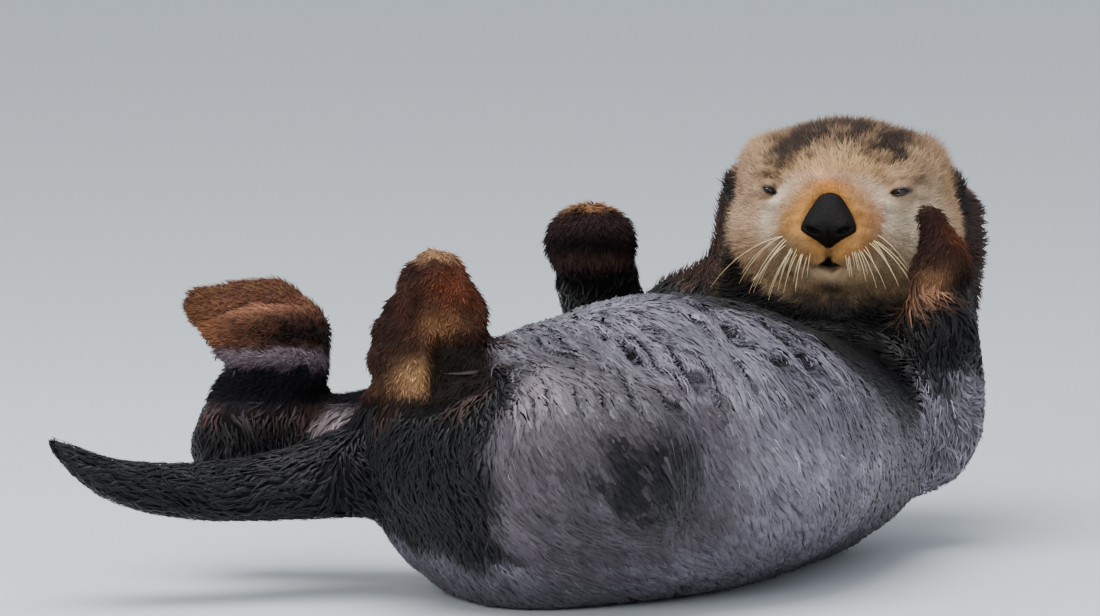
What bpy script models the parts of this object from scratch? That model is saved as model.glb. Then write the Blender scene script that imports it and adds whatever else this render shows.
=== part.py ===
"""A sea otter floating on its back, as a life-size model that rests on a floor.

The otter lies on its back with its head curled up and forward, the left forepaw held up to the
cheek, the right forepaw raised over the chest, both hind feet up and the tail trailing behind.
+Z is up. The tail points to -X, the face looks to -Y and a little to -X.

The flesh is modelled whole, from lofted limbs and rounded masses that a voxel remesh fuses, and
is then parted with thin cuts into the lengths that a person would name. Eyes, nose, ears and
claws are let into it as solids of their own.
"""

import math

import bmesh
import bpy
from mathutils import Matrix, Vector
from mathutils.bvhtree import BVHTree

# ---------------------------------------------------------------- driving dimensions (metres)

GAP = 0.0003  # clear space between two solids that meet
BACK_DEPTH = 0.004  # how much of the back is flattened by its weight
BODY_TRIANGLES = 2900  # of the whole flesh, before it is parted

# Half-width and half-height of the trunk from the rump to the shoulders, coat included.
RUMP = (0.076, 0.058)
PELVIS = (0.108, 0.093)
LOIN = (0.126, 0.102)
BELLY = (0.138, 0.1085)
CHEST = (0.122, 0.096)
SHOULDERS = (0.102, 0.082)

HEAD_CENTRE = Vector((0.2155, 0.335, 0.2315))
HEAD_YAW = math.radians(8.5)
HEAD_PITCH = math.radians(5)
HEAD_BLEND = 14  # higher numbers leave sharper valleys between the masses of the head

# The masses of the head, in its own frame: x left, y forward, z up. (centre, radii)
SKULL = ((0, -0.015, 0.005), (0.0890, 0.0880, 0.0690))
FACE = ((0, 0.030, -0.010), (0.060, 0.050, 0.050))
MUZZLE = ((0, 0.046, -0.008), (0.041, 0.044, 0.036))
BRIDGE = ((0, 0.042, 0.014), (0.029, 0.040, 0.026))
CHIN = ((0, 0.044, -0.042), (0.033, 0.034, 0.025))
CHEEK = ((0.044, 0.002, -0.022), (0.046, 0.061, 0.044))
WHISKER_PAD = ((0.021, 0.060, -0.019), (0.028, 0.029, 0.025))
BROW = ((0.034, 0.026, 0.030), (0.036, 0.034, 0.023))

EYE_SPACING = 0.097
EYE_HEIGHT = 0.0225
EYE_RADIUS = 0.0068
EYE_DEPTH = 0.0050  # from the coat down to the eyeball's centre

NOSE_WIDTH = 0.042
NOSE_HEIGHT = 0.041
NOSE_THICKNESS = 0.013
NOSE_STANDS_OUT = 0.0045

EAR_RADII = (0.0062, 0.0115, 0.0130)
HIND_CLAW = (0.009, 0.0021)  # length, half-thickness at the root
FORE_CLAW = (0.008, 0.0016)

RING = 28  # sides of a lofted limb


# ---------------------------------------------------------------- modelling helpers


def resting(half_height):
    """Height of a cross-section's centre whose underside is pressed flat on the floor."""
    return half_height - BACK_DEPTH


def head_matrix():
    """From the head's own frame to the body's."""
    turn = Matrix.Rotation(math.pi - HEAD_YAW, 4, "Z") @ Matrix.Rotation(HEAD_PITCH, 4, "X")
    mirror = Matrix.Diagonal((-1, 1, 1, 1))
    return Matrix.Translation(HEAD_CENTRE) @ turn @ mirror


def between(values, t):
    """A smooth curve through the values (Catmull-Rom), read at t, where 1 is the second value."""
    last = len(values) - 1
    i = min(int(t), last - 1)
    u = t - i
    a, b, c, d = (Vector(values[min(max(k, 0), last)]) for k in (i - 1, i, i + 1, i + 2))
    return 0.5 * (
        2 * b + (c - a) * u + (2 * a - 5 * b + 4 * c - d) * u**2 + (3 * b - a - 3 * c + d) * u**3
    )


def add_ring(bm, centre, along, side, half_width, half_height, count):
    """One elliptical cross-section; side is roughly the direction of its width."""
    along = along.normalized()
    up = along.cross(side).normalized()
    across = up.cross(along)
    frame = Matrix((across, up, along)).transposed().to_4x4()
    scale = Matrix.Diagonal((half_width, half_height, 1, 1))
    made = bmesh.ops.create_circle(
        bm, segments=count, radius=1, matrix=Matrix.Translation(centre) @ frame @ scale
    )
    return list({edge for vert in made["verts"] for edge in vert.link_edges})


def sweep(bm, stations, side, steps=6, cap=0.8, count=RING, cap_angles=(75, 55, 35, 15)):
    """A limb lofted through stations (x, y, z, half-width, half-height), with rounded ends.

    cap is the length of each end over its radius; cap_angles are the latitudes of its rings.
    """
    side = Vector(side)
    total = (len(stations) - 1) * steps
    rows = [between(stations, k / steps) for k in range(total + 1)]
    centres = [Vector(row[:3]) for row in rows]
    tangents = [
        (centres[min(k + 1, total)] - centres[max(k - 1, 0)]).normalized()
        for k in range(total + 1)
    ]
    rings = []
    cap_angles = [math.radians(angle) for angle in cap_angles]
    for angle in cap_angles:
        reach = min(rows[0][3:]) * cap * math.sin(angle)
        shrink = math.cos(angle)
        rings.append((centres[0] - tangents[0] * reach, tangents[0], rows[0], shrink))
    rings += [(centres[k], tangents[k], rows[k], 1) for k in range(total + 1)]
    for angle in reversed(cap_angles):
        reach = min(rows[-1][3:]) * cap * math.sin(angle)
        shrink = math.cos(angle)
        rings.append((centres[-1] + tangents[-1] * reach, tangents[-1], rows[-1], shrink))
    loops = [
        add_ring(bm, centre, along, side, row[3] * shrink, row[4] * shrink, count)
        for centre, along, row, shrink in rings
    ]
    for lower, upper in zip(loops, loops[1:]):
        bmesh.ops.bridge_loops(bm, edges=lower + upper)
    bmesh.ops.edgenet_fill(bm, edges=loops[0])
    bmesh.ops.edgenet_fill(bm, edges=loops[-1])


def ball(bm, centre, radii, frame=None, subdivisions=4):
    """An ellipsoid."""
    place = (frame or Matrix()) @ Matrix.Translation(centre) @ Matrix.Diagonal((*radii, 1))
    bmesh.ops.create_icosphere(bm, subdivisions=subdivisions, radius=1, matrix=place)


def block(bm, corner, along, side, size):
    """A box that starts at corner and runs along; its middle lies on the line through corner."""
    along = Vector(along).normalized()
    up = along.cross(Vector(side)).normalized()
    frame = Matrix((up.cross(along), up, along)).transposed().to_4x4()
    place = Matrix.Translation(corner) @ frame @ Matrix.Translation((0, 0, size[2] / 2))
    bmesh.ops.create_cube(bm, size=1, matrix=place @ Matrix.Diagonal((*size, 1)))


def facing_out(bm):
    bmesh.ops.recalc_face_normals(bm, faces=bm.faces[:])
    return bm


def grown(bm, by):
    """A copy of a closed shape that stands out from it on all sides."""
    bigger = bm.copy()
    bigger.normal_update()
    moves = [vert.normal * by * vert.calc_shell_factor() for vert in bigger.verts]
    for vert, move in zip(bigger.verts, moves):
        vert.co += move
    return bigger


def new_object(name, bm, material=None):
    mesh = bpy.data.meshes.new(name)
    bm.to_mesh(mesh)
    obj = bpy.data.objects.new(name, mesh)
    bpy.context.scene.collection.objects.link(obj)
    if material:
        mesh.materials.append(material)
        mesh.shade_smooth()
    return obj


def evaluated(obj):
    """The object's mesh with its modifiers applied; the object itself is removed."""
    graph = bpy.context.evaluated_depsgraph_get()
    bm = bmesh.new()
    bm.from_object(obj, graph)
    mesh = obj.data
    bpy.data.objects.remove(obj)
    bpy.data.meshes.remove(mesh)
    return bm


def fused(bm, voxel, rounds):
    """One smooth closed surface around everything in bm."""
    obj = new_object("fused", facing_out(bm))
    remesh = obj.modifiers.new("fuse", "REMESH")
    remesh.mode = "VOXEL"
    remesh.voxel_size = voxel
    soften = obj.modifiers.new("soften", "SMOOTH")
    soften.factor = 0.5
    soften.iterations = rounds
    return evaluated(obj)


def thinned(bm, triangles):
    """The same surface with fewer triangles."""
    bmesh.ops.triangulate(bm, faces=bm.faces[:])
    share = triangles / len(bm.faces)
    obj = new_object("thinned", bm)
    obj.modifiers.new("thin", "DECIMATE").ratio = share
    return evaluated(obj)


def boolean(bm, tool, operation):
    """Difference or intersection of two closed shapes, by the exact solver."""
    obj = new_object("shape", bm)
    cutter = new_object("cutter", tool)
    modifier = obj.modifiers.new("boolean", "BOOLEAN")
    modifier.operation = operation
    modifier.object = cutter
    result = evaluated(obj)
    mesh = cutter.data
    bpy.data.objects.remove(cutter)
    bpy.data.meshes.remove(mesh)
    bmesh.ops.remove_doubles(result, verts=result.verts[:], dist=0.000005)
    return result


def largest_part(bm):
    """Drops every loose piece but the largest."""
    left = set(bm.faces)
    pieces = []
    while left:
        front = [left.pop()]
        piece = list(front)
        while front:
            face = front.pop()
            near = {other for edge in face.edges for other in edge.link_faces} & left
            left -= near
            front += near
            piece += near
        pieces.append(piece)
    pieces.sort(key=len)
    spare = [face for piece in pieces[:-1] for face in piece]
    bmesh.ops.delete(bm, geom=spare, context="FACES")
    return bm


# ---------------------------------------------------------------- the flesh


def add_trunk(bm):
    """The back on the floor from hips to shoulders, the rump and the neck curling up."""
    sweep(
        bm,
        [
            (-0.095, 0.032, 0.104, *RUMP),
            (-0.045, 0.004, resting(PELVIS[1]), *PELVIS),
            (0.020, -0.012, resting(LOIN[1]), *LOIN),
            (0.085, 0.040, resting(BELLY[1]), *BELLY),
            (0.138, 0.140, resting(CHEST[1]), *CHEST),
            (0.182, 0.240, resting(SHOULDERS[1]), *SHOULDERS),
        ],
        side=(0.75, -0.66, 0),
    )
    ball(bm, (-0.030, 0.050, 0.083), (0.082, 0.072, 0.088))
    sweep(
        bm,
        [
            (0.190, 0.255, 0.087, 0.101, 0.076),
            (0.206, 0.325, 0.132, 0.104, 0.080),
            (0.219, 0.366, 0.180, 0.107, 0.074),
            (0.222, 0.372, 0.229, 0.106, 0.070),
        ],
        side=(1, 0, 0),
    )
    ball(bm, (0.203, 0.292, 0.140), (0.074, 0.046, 0.052))


def add_upper_limbs(bm):
    """Shoulders and upper arms, and the thighs: the left splayed, the right drawn back."""
    sweep(
        bm,
        [
            (0.225, 0.240, 0.088, 0.056, 0.052),
            (0.270, 0.262, 0.080, 0.047, 0.047),
            (0.280, 0.254, 0.120, 0.042, 0.038),
        ],
        side=(1, 0, 0),
    )
    ball(bm, (0.117, 0.345, 0.134), (0.068, 0.062, 0.068))
    sweep(
        bm,
        [(0.125, 0.325, 0.110, 0.062, 0.062), (0.070, 0.315, 0.122, 0.047, 0.046)],
        side=(0, 1, 0),
    )
    sweep(
        bm,
        [
            (-0.045, -0.035, 0.104, 0.070, 0.066),
            (0.010, -0.098, 0.112, 0.068, 0.070),
            (0.060, -0.108, 0.103, 0.058, 0.060),
        ],
        side=(0, 0, 1),
    )
    sweep(
        bm,
        [(0.000, -0.106, 0.106, 0.062, 0.056), (-0.060, -0.078, 0.108, 0.056, 0.049)],
        side=(0, 0, 1),
    )
    sweep(
        bm,
        [(-0.050, 0.060, 0.096, 0.068, 0.068), (-0.110, 0.083, 0.094, 0.051, 0.049)],
        side=(0, 0, 1),
    )


def add_head(bm):
    """A broad blunt head, as one ball whose radius blends those of its masses."""
    masses = [SKULL, FACE, MUZZLE, BRIDGE, CHIN]
    for (x, y, z), radii in (CHEEK, WHISKER_PAD, BROW):
        masses += [((side * x, y, z), radii) for side in (-1, 1)]
    made = bmesh.ops.create_icosphere(bm, subdivisions=6, radius=1)
    place = head_matrix()
    for vert in made["verts"]:
        direction = vert.co.normalized()
        total = sum(reach(direction, *mass) ** HEAD_BLEND for mass in masses)
        vert.co = place @ (direction * total ** (1 / HEAD_BLEND))


def reach(direction, centre, radii):
    """How far from the head's centre an ellipsoid extends in a direction; 0 where it's missed."""
    ray = Vector(d / r for d, r in zip(direction, radii))
    offset = Vector(c / r for c, r in zip(centre, radii))
    along = ray.dot(offset)
    discriminant = along**2 - ray.length_squared * (offset.length_squared - 1)
    if discriminant < 0:
        return 0
    return max(0, (along + math.sqrt(discriminant)) / ray.length_squared)


def add_forearms(bm):
    """Left: up beside the cheek. Right: reaching over the chest, the paw curled forward."""
    sweep(
        bm,
        [
            (0.277, 0.258, 0.090, 0.044, 0.042),
            (0.281, 0.254, 0.125, 0.040, 0.036),
            (0.283, 0.247, 0.165, 0.032, 0.029),
            (0.283, 0.241, 0.195, 0.0265, 0.0225),
            (0.2845, 0.241, 0.216, 0.0225, 0.0175),
            (0.281, 0.242, 0.2305, 0.0165, 0.0135),
            (0.2757, 0.243, 0.2445, 0.0105, 0.0095),
        ],
        side=(1, 0, 0),
    )
    sweep(
        bm,
        [
            (0.095, 0.322, 0.115, 0.052, 0.050),
            (0.066, 0.313, 0.124, 0.045, 0.043),
            (0.045, 0.296, 0.158, 0.037, 0.034),
            (0.034, 0.281, 0.190, 0.034, 0.030),
        ],
        side=(1, 0, 0),
    )
    ball(bm, (0.0295, 0.266, 0.2215), (0.0365, 0.032, 0.0325))


def left_toes():
    """Paths of the left foot's toes, inner to outer: they stand up, their soles to -Y."""
    paths = []
    for k in range(5):
        outer = k / 4
        arch = 1 - (2 * outer - 1) ** 2
        x = -0.112 + 0.056 * outer
        tip = 0.206 + 0.008 * outer + 0.033 * arch**0.8
        lean = 0.35 * (tip - 0.150)
        paths.append(
            [
                (-0.087 + 0.40 * (x + 0.087), -0.054, 0.135, 0.020, 0.020),
                (-0.085 + 0.95 * (x + 0.085), -0.047, 0.165, 0.017, 0.018),
                (x, -0.052 + lean, 0.5 * (tip + 0.172), 0.016, 0.0155),
                (x + 0.003, -0.050 + 1.5 * lean, tip, 0.0115, 0.0105),
            ]
        )
    return paths


def right_toes():
    """Paths of the right foot's toes, inner to outer: folded over at the top, tips to -X."""
    paths = []
    for k in range(5):
        outer = k / 4
        y = 0.058 + 0.062 * outer
        tip = Vector((-0.220 - 0.032 * outer**0.6, y, 0.158 + 0.038 * outer))
        top = 0.158 + 0.036 * outer**0.8
        girth = 0.0125 + 0.0035 * min(1, 2 * outer)
        paths.append(
            [
                (-0.192, 0.086 + 0.014 * outer, 0.128, 0.020, 0.020),
                (-0.172, 0.5 * (y + 0.092), 0.5 * (top + 0.138), 0.018, 0.018),
                (-0.189, y, top, girth, girth + 0.001),
                (-0.208, y, 0.5 * (top + tip.z) + 0.004, girth, girth),
                (*tip, 0.0115, 0.0115),
            ]
        )
    return paths


def add_feet(bm):
    """Ankles and webbed hind feet: the left one upright, the right one folded over."""
    sweep(
        bm,
        [(-0.040, -0.088, 0.107, 0.058, 0.052), (-0.086, -0.062, 0.104, 0.046, 0.042)],
        side=(0, 0, 1),
    )
    sweep(
        bm,
        [
            (-0.088, -0.056, 0.108, 0.043, 0.036),
            (-0.087, -0.050, 0.150, 0.041, 0.026),
            (-0.084, -0.038, 0.190, 0.038, 0.018),
            (-0.079, -0.018, 0.228, 0.029, 0.012),
        ],
        side=(1, 0, 0),
    )
    for path in left_toes():
        sweep(bm, path, side=(1, 0, 0), steps=4)
    sweep(
        bm,
        [
            (-0.100, 0.080, 0.094, 0.051, 0.050),
            (-0.165, 0.093, 0.090, 0.040, 0.040),
            (-0.215, 0.093, 0.086, 0.038, 0.040),
        ],
        side=(0, 0, 1),
    )
    sweep(
        bm,
        [
            (-0.217, 0.093, 0.088, 0.040, 0.044),
            (-0.203, 0.093, 0.124, 0.041, 0.041),
            (-0.190, 0.093, 0.150, 0.040, 0.034),
        ],
        side=(0, 1, 0),
    )
    ball(bm, (-0.206, 0.096, 0.182), (0.040, 0.034, 0.014))
    for path in right_toes():
        sweep(bm, path, side=(0, 1, 0), steps=4)


def add_tail(bm):
    """Short and flattened, held just clear of the floor, its tip turned up."""
    sweep(
        bm,
        [
            (-0.085, 0.026, 0.098, 0.058, 0.046),
            (-0.165, 0.006, 0.082, 0.039, 0.031),
            (-0.240, -0.020, 0.077, 0.033, 0.023),
            (-0.305, -0.040, 0.088, 0.026, 0.017),
            (-0.348, -0.051, 0.117, 0.009, 0.007),
        ],
        side=(0, 1, 0),
        steps=8,
    )


def whole_flesh():
    """Trunk, neck and thighs run into each other softly; head, paws and tail less so."""
    soft = bmesh.new()
    add_trunk(soft)
    add_upper_limbs(soft)
    soft = fused(soft, voxel=0.0060, rounds=16)
    add_head(soft)
    add_forearms(soft)
    add_feet(soft)
    add_tail(soft)
    flesh = thinned(fused(soft, voxel=0.0030, rounds=8), BODY_TRIANGLES)
    floor = bmesh.new()
    block(floor, (0, 0.13, 0), (0, 0, -1), (1, 0, 0), (1, 1, 0.05))
    return boolean(flesh, facing_out(floor), "DIFFERENCE")


# ---------------------------------------------------------------- eyes, nose, ears and claws


def surface(tree, inside, direction):
    """Where a ray from a point inside the flesh leaves it, and the outward normal there."""
    point, normal, _, _ = tree.ray_cast(inside, direction.normalized())
    return point, normal


def eyes(tree):
    """Two eyeballs, sunk so that the lids close over most of them."""
    place = head_matrix()
    made = {}
    for name, side in (("eye_left", 1), ("eye_right", -1)):
        start = place @ Vector((side * EYE_SPACING / 2, 0, EYE_HEIGHT))
        point, normal = surface(tree, start, (place.to_3x3() @ Vector((0, 1, 0))).normalized())
        made[name] = bmesh.new()
        ball(made[name], point - normal * EYE_DEPTH, [EYE_RADIUS] * 3, subdivisions=2)
    return made


def nose_outline(angle):
    """Half-size of the nose pad at an angle: a rounded top, wide low down, a blunt point below."""
    x, z = math.cos(angle), math.sin(angle)
    wide = 1 - 0.16 * max(0, z) ** 1.5 - 0.05 * abs(x) * max(0, -z)
    point = 1 + 0.10 * max(0, -z) ** 6
    pinch = 1 - 0.15 * math.exp(-(((math.degrees(angle) + 55) / 22) ** 2))
    pinch *= 1 - 0.15 * math.exp(-(((math.degrees(angle) + 125) / 22) ** 2))
    return x * wide * pinch, z * point * pinch - 0.06


def nose(tree):
    """A leathery pad on the end of the muzzle, from a stack of outlines that dome at the front."""
    place = head_matrix()
    forward = (place.to_3x3() @ Vector((0, 1, 0))).normalized()
    point, _ = surface(tree, place @ Vector((0, 0, 0.001)), forward)
    front = (place.inverted() @ point).y + NOSE_STANDS_OUT
    bm = bmesh.new()
    depths = ((NOSE_THICKNESS, 0.86), (0.0060, 1.0), (0.0030, 0.97), (0.0010, 0.80), (0, 0.45))
    loops = []
    for depth, share in depths:
        made = bmesh.ops.create_circle(bm, segments=24, radius=1)
        for vert in made["verts"]:
            x, z = nose_outline(math.atan2(vert.co.y, vert.co.x))
            x *= share * NOSE_WIDTH / 2
            z *= share * NOSE_HEIGHT / 2
            roll = 0.10 * abs(x) + 0.20 * max(0, z)
            vert.co = place @ Vector((x, front - depth - roll, z + 0.001))
        loops.append(list({edge for vert in made["verts"] for edge in vert.link_edges}))
    for back, fore in zip(loops, loops[1:]):
        bmesh.ops.bridge_loops(bm, edges=back + fore)
    bmesh.ops.edgenet_fill(bm, edges=loops[0])
    bmesh.ops.edgenet_fill(bm, edges=loops[-1])
    return {"nose": bm}


def ears(tree):
    """Small thick ears low on the sides of the head, pointing out and back."""
    made = {}
    place = head_matrix()
    for name, side in (("ear_left", 1), ("ear_right", -1)):
        out = (place.to_3x3() @ Vector((side, 0.05, 0))).normalized()
        point, _ = surface(tree, place @ Vector((0, -0.016, 0.026)), out)
        tilt = Matrix.Rotation(side * math.radians(18), 4, "Z")
        frame = Matrix.Translation(point) @ place.to_3x3().to_4x4() @ tilt
        made[name] = bmesh.new()
        ball(made[name], (-side * 0.0030, -0.002, 0), EAR_RADII, frame, subdivisions=2)
    return made


def claw(tree, inside, direction, curl, size):
    """A short curved claw whose root is let into the toe."""
    direction, curl = direction.normalized(), curl.normalized()
    skin, _ = surface(tree, inside, direction)
    length, half = size
    stations = []
    for share, thick in ((-0.4, 1.0), (0.4, 0.85), (1.0, 0.30)):
        centre = skin + direction * length * share + curl * length * 0.22 * max(0, share) ** 2
        stations.append((*centre, 0.8 * half * thick, half * thick))
    bm = bmesh.new()
    sweep(bm, stations, direction.cross(curl), steps=1, count=6, cap_angles=())
    return bm


def claws(tree):
    """Five on each foot: the hind ones at the toe tips, the small fore ones behind the pads."""
    made = {}
    hind = (
        ("left", left_toes(), Vector((0.05, 0.95, 0.30)), Vector((0, 0.3, -1))),
        ("right", right_toes(), Vector((-0.50, 0, -0.85)), Vector((1, 0, -0.3))),
    )
    for which, paths, direction, curl in hind:
        for k, path in enumerate(paths):
            inside = Vector(path[-1][:3])
            made[f"claw_hind_{which}_{k + 1}"] = claw(tree, inside, direction, curl, HIND_CLAW)
    for k in range(5):
        across = (k - 2) / 2
        inside = Vector((0.277 + 0.007 * across, 0.243, 0.238 - 0.006 * across**2))
        direction = Vector((0.35 * across, 0.75, 0.50))
        made[f"claw_fore_left_{k + 1}"] = claw(
            tree, inside, direction, Vector((0, 0.2, -1)), FORE_CLAW
        )
        inside = Vector((0.0295 + 0.012 * across, 0.262, 0.214))
        direction = Vector((0.55 * across, -0.70, -0.62))
        made[f"claw_fore_right_{k + 1}"] = claw(
            tree, inside, direction, Vector((0, 1, -0.3)), FORE_CLAW
        )
    return made


# ---------------------------------------------------------------- where the flesh is parted

# Stations of the tubes that part a limb from what it lies on: x, y, z, half-width, half-height.
FOREPAW_LEFT = [
    (0.283, 0.241, 0.197, 0.036, 0.030),
    (0.283, 0.241, 0.225, 0.032, 0.023),
    (0.276, 0.243, 0.262, 0.028, 0.020),
]
FOREARM_LEFT = [
    (0.283, 0.262, 0.098, 0.052, 0.050),
    (0.284, 0.252, 0.130, 0.047, 0.042),
    (0.283, 0.246, 0.170, 0.038, 0.034),
    (0.283, 0.240, 0.200, 0.036, 0.030),
]
UPPER_ARM_LEFT = [
    (0.243, 0.245, 0.088, 0.062, 0.060),
    (0.290, 0.265, 0.082, 0.060, 0.064),
    (0.345, 0.285, 0.080, 0.056, 0.070),
]
SHANK_LEFT = [
    (-0.022, -0.104, 0.106, 0.072, 0.064),
    (-0.060, -0.080, 0.108, 0.066, 0.058),
    (-0.100, -0.054, 0.104, 0.060, 0.054),
    (-0.150, -0.030, 0.104, 0.056, 0.054),
]
THIGH_LEFT = [
    (-0.030, -0.062, 0.106, 0.076, 0.060),
    (0.012, -0.108, 0.110, 0.080, 0.068),
    (0.075, -0.120, 0.105, 0.070, 0.066),
    (0.130, -0.120, 0.105, 0.066, 0.066),
]
LEFT_FOOT_BOX = (0.094, 0.12, 0.2)  # narrow enough to miss the belly


def along_limb(stations, side):
    """A parting shape: a plain tube a little fatter than the limb inside it."""

    def build(bm):
        sweep(bm, stations, side, steps=2, count=10, cap_angles=())

    return build


def beyond(corner, along, size=(0.9, 0.9, 0.9), side=(0, 0, 1)):
    """A parting shape: everything on one side of a plane."""

    def build(bm):
        block(bm, corner, along, side, size)

    return build


def partings():
    """(node, parting shape), in the order of cutting: each takes its length off what is left."""
    return [
        ("forepaw_left", along_limb(FOREPAW_LEFT, (1, 0, 0))),
        ("forearm_left", along_limb(FOREARM_LEFT, (1, 0, 0))),
        ("upper_arm_left", along_limb(UPPER_ARM_LEFT, (0, 1, 0))),
        ("forepaw_right", beyond((0.034, 0.281, 0.192), (-0.15, -0.30, 0.94), (0.12, 0.12, 0.1))),
        ("forearm_right", beyond((0.064, 0.305, 0.130), (-0.32, -0.32, 0.89), (0.1, 0.1, 0.1))),
        ("upper_arm_right", beyond((0.128, 0.350, 0.134), (-1, 0.15, 0), (0.22, 0.20, 0.2))),
        ("head", beyond((0.212, 0.360, 0.195), (0, -0.35, 0.94), (0.3, 0.24, 0.3), (1, 0, 0))),
        ("neck", beyond((0.198, 0.300, 0.105), (0.15, 0.80, 0.58))),
        ("hind_foot_left", beyond((-0.087, -0.045, 0.142), (0, 0.05, 1), LEFT_FOOT_BOX, (1, 0, 0))),
        ("hind_foot_right", beyond((-0.203, 0.093, 0.128), (0, 0, 1), (0.2, 0.12, 0.2), (1, 0, 0))),
        ("shank_left", along_limb(SHANK_LEFT, (0, 0, 1))),
        ("shank_right", beyond((-0.135, 0.095, 0.090), (-1, 0.08, 0), (0.16, 0.10, 0.2))),
        ("thigh_left", along_limb(THIGH_LEFT, (0, 0, 1))),
        ("thigh_right", beyond((-0.070, 0.118, 0.095), (-1, 0.22, 0), (0.22, 0.128, 0.2))),
        ("tail_tip", beyond((-0.235, -0.018, 0.077), (-1, -0.3, 0), (0.2, 0.2, 0.2))),
        ("tail_base", beyond((-0.122, 0.012, 0.090), (-1, -0.25, 0), (0.3, 0.3, 0.2))),
        ("chest", beyond((0.124, 0.112, 0.095), (0.47, 0.88, 0))),
        ("belly", beyond((0.006, 0.004, 0.095), (0.93, 0.37, 0))),
        ("pelvis", None),
    ]


def parted(flesh):
    """The flesh cut into its nodes, each a hair's breadth clear of the next."""
    made = {}
    for name, build in partings():
        if build is None:
            made[name] = largest_part(flesh)
            continue
        tool = bmesh.new()
        build(tool)
        bmesh.ops.triangulate(tool, faces=tool.faces[:])
        facing_out(tool)
        made[name] = largest_part(boolean(flesh, tool, "INTERSECT"))
        flesh = boolean(flesh, grown(tool, GAP), "DIFFERENCE")
    return made


# ---------------------------------------------------------------- materials

FINISHES = {
    "coat_head": ((0.50, 0.36, 0.22), 0.75),
    "coat_trunk": ((0.16, 0.145, 0.155), 0.35),
    "coat_limbs": ((0.075, 0.045, 0.030), 0.50),
    "coat_ear": ((0.10, 0.06, 0.04), 0.60),
    "nose": ((0.018, 0.013, 0.014), 0.35),
    "eye": ((0.010, 0.007, 0.006), 0.08),
    "claw": ((0.12, 0.09, 0.06), 0.40),
}


def finish_of(name):
    if name.startswith("claw"):
        return "claw"
    if name.startswith("eye"):
        return "eye"
    if name.startswith("ear"):
        return "coat_ear"
    if name == "nose":
        return "nose"
    if name == "head":
        return "coat_head"
    if name in ("chest", "belly", "pelvis", "thigh_left", "tail_base", "tail_tip"):
        return "coat_trunk"
    return "coat_limbs"


def palette():
    made = {}
    for name, (colour, roughness) in FINISHES.items():
        material = bpy.data.materials.new(name)
        material.use_nodes = True
        shader = material.node_tree.nodes["Principled BSDF"]
        shader.inputs["Base Color"].default_value = (*colour, 1)
        shader.inputs["Roughness"].default_value = roughness
        shader.inputs["Metallic"].default_value = 0
        made[name] = material
    return made


# ---------------------------------------------------------------- the otter


def main():
    for obj in list(bpy.data.objects):
        bpy.data.objects.remove(obj)
    flesh = whole_flesh()
    tree = BVHTree.FromBMesh(flesh)
    small = {**eyes(tree), **nose(tree), **ears(tree), **claws(tree)}
    for bm in small.values():
        flesh = boolean(flesh, grown(facing_out(bm), GAP), "DIFFERENCE")
    solids = {**parted(flesh), **small}
    low = Vector(min(v.co[i] for bm in solids.values() for v in bm.verts) for i in range(3))
    high = Vector(max(v.co[i] for bm in solids.values() for v in bm.verts) for i in range(3))
    centre = bpy.data.objects.new("sea_otter", None)
    centre.location = (-(low.x + high.x) / 2, -(low.y + high.y) / 2, -low.z)
    bpy.context.scene.collection.objects.link(centre)
    materials = palette()
    for name, bm in solids.items():
        obj = new_object(name, bm, materials[finish_of(name)])
        obj.parent = centre


main()
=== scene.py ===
"""A life-size sea otter on its back: one skin, its coat, eyes, nose, claws and whiskers."""

import math

import bpy
import numpy as np
from mathutils import Matrix, Vector
from mathutils.bvhtree import BVHTree


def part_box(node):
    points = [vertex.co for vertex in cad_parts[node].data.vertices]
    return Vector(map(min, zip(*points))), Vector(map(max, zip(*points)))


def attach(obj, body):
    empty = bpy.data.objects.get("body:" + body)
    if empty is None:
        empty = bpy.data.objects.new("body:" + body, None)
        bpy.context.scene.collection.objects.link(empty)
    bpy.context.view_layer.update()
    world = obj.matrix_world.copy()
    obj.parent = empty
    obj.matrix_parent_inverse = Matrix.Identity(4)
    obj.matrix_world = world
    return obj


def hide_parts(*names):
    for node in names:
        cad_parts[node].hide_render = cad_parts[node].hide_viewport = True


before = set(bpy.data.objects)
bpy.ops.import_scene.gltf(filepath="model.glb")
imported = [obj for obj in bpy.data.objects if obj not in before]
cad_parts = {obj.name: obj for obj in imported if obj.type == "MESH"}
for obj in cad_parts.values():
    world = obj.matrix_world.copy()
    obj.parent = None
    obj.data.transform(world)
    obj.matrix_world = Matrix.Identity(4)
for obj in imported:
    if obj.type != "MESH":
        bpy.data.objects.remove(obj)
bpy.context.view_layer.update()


# ------------------------------------------------------------------ floor, light and camera
# A plain pale floor that runs on to the horizon, and the light of an overcast sky: a broad
# soft source overhead, a weaker one from the front, and a pale surround.

FLOOR_WIDTH = 40.0
FLOOR_COLOUR = "#dfe3e6"
SKY_COLOUR = "#d3dae2"
SKY_STRENGTH = 1.0
EYE_LEVEL = 0.204  # height of the middle of the view
VIEW_MIDDLE = Vector((0.0135, -0.1357, EYE_LEVEL))
VIEW_DISTANCE = 6.417
VIEW_ELEVATION = math.radians(6.5)
LENS = 300


def linear(colour):
    """An sRGB hex colour as linear values."""
    parts = [int(colour[k : k + 2], 16) / 255 for k in (1, 3, 5)]
    return np.array([p / 12.92 if p <= 0.04045 else ((p + 0.055) / 1.055) ** 2.4 for p in parts])


def add_node(tree, kind, links=None, **settings):
    """One shader node; a setting names an input socket or a property, links feed its inputs."""
    node = tree.nodes.new(kind)
    for name, value in settings.items():
        socket = name.replace("_", " ")
        if hasattr(node, name):
            setattr(node, name, value)
        else:
            node.inputs[socket.title()].default_value = value
    for name, source in (links or {}).items():
        tree.links.new(source, node.inputs[name])
    return node


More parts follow.
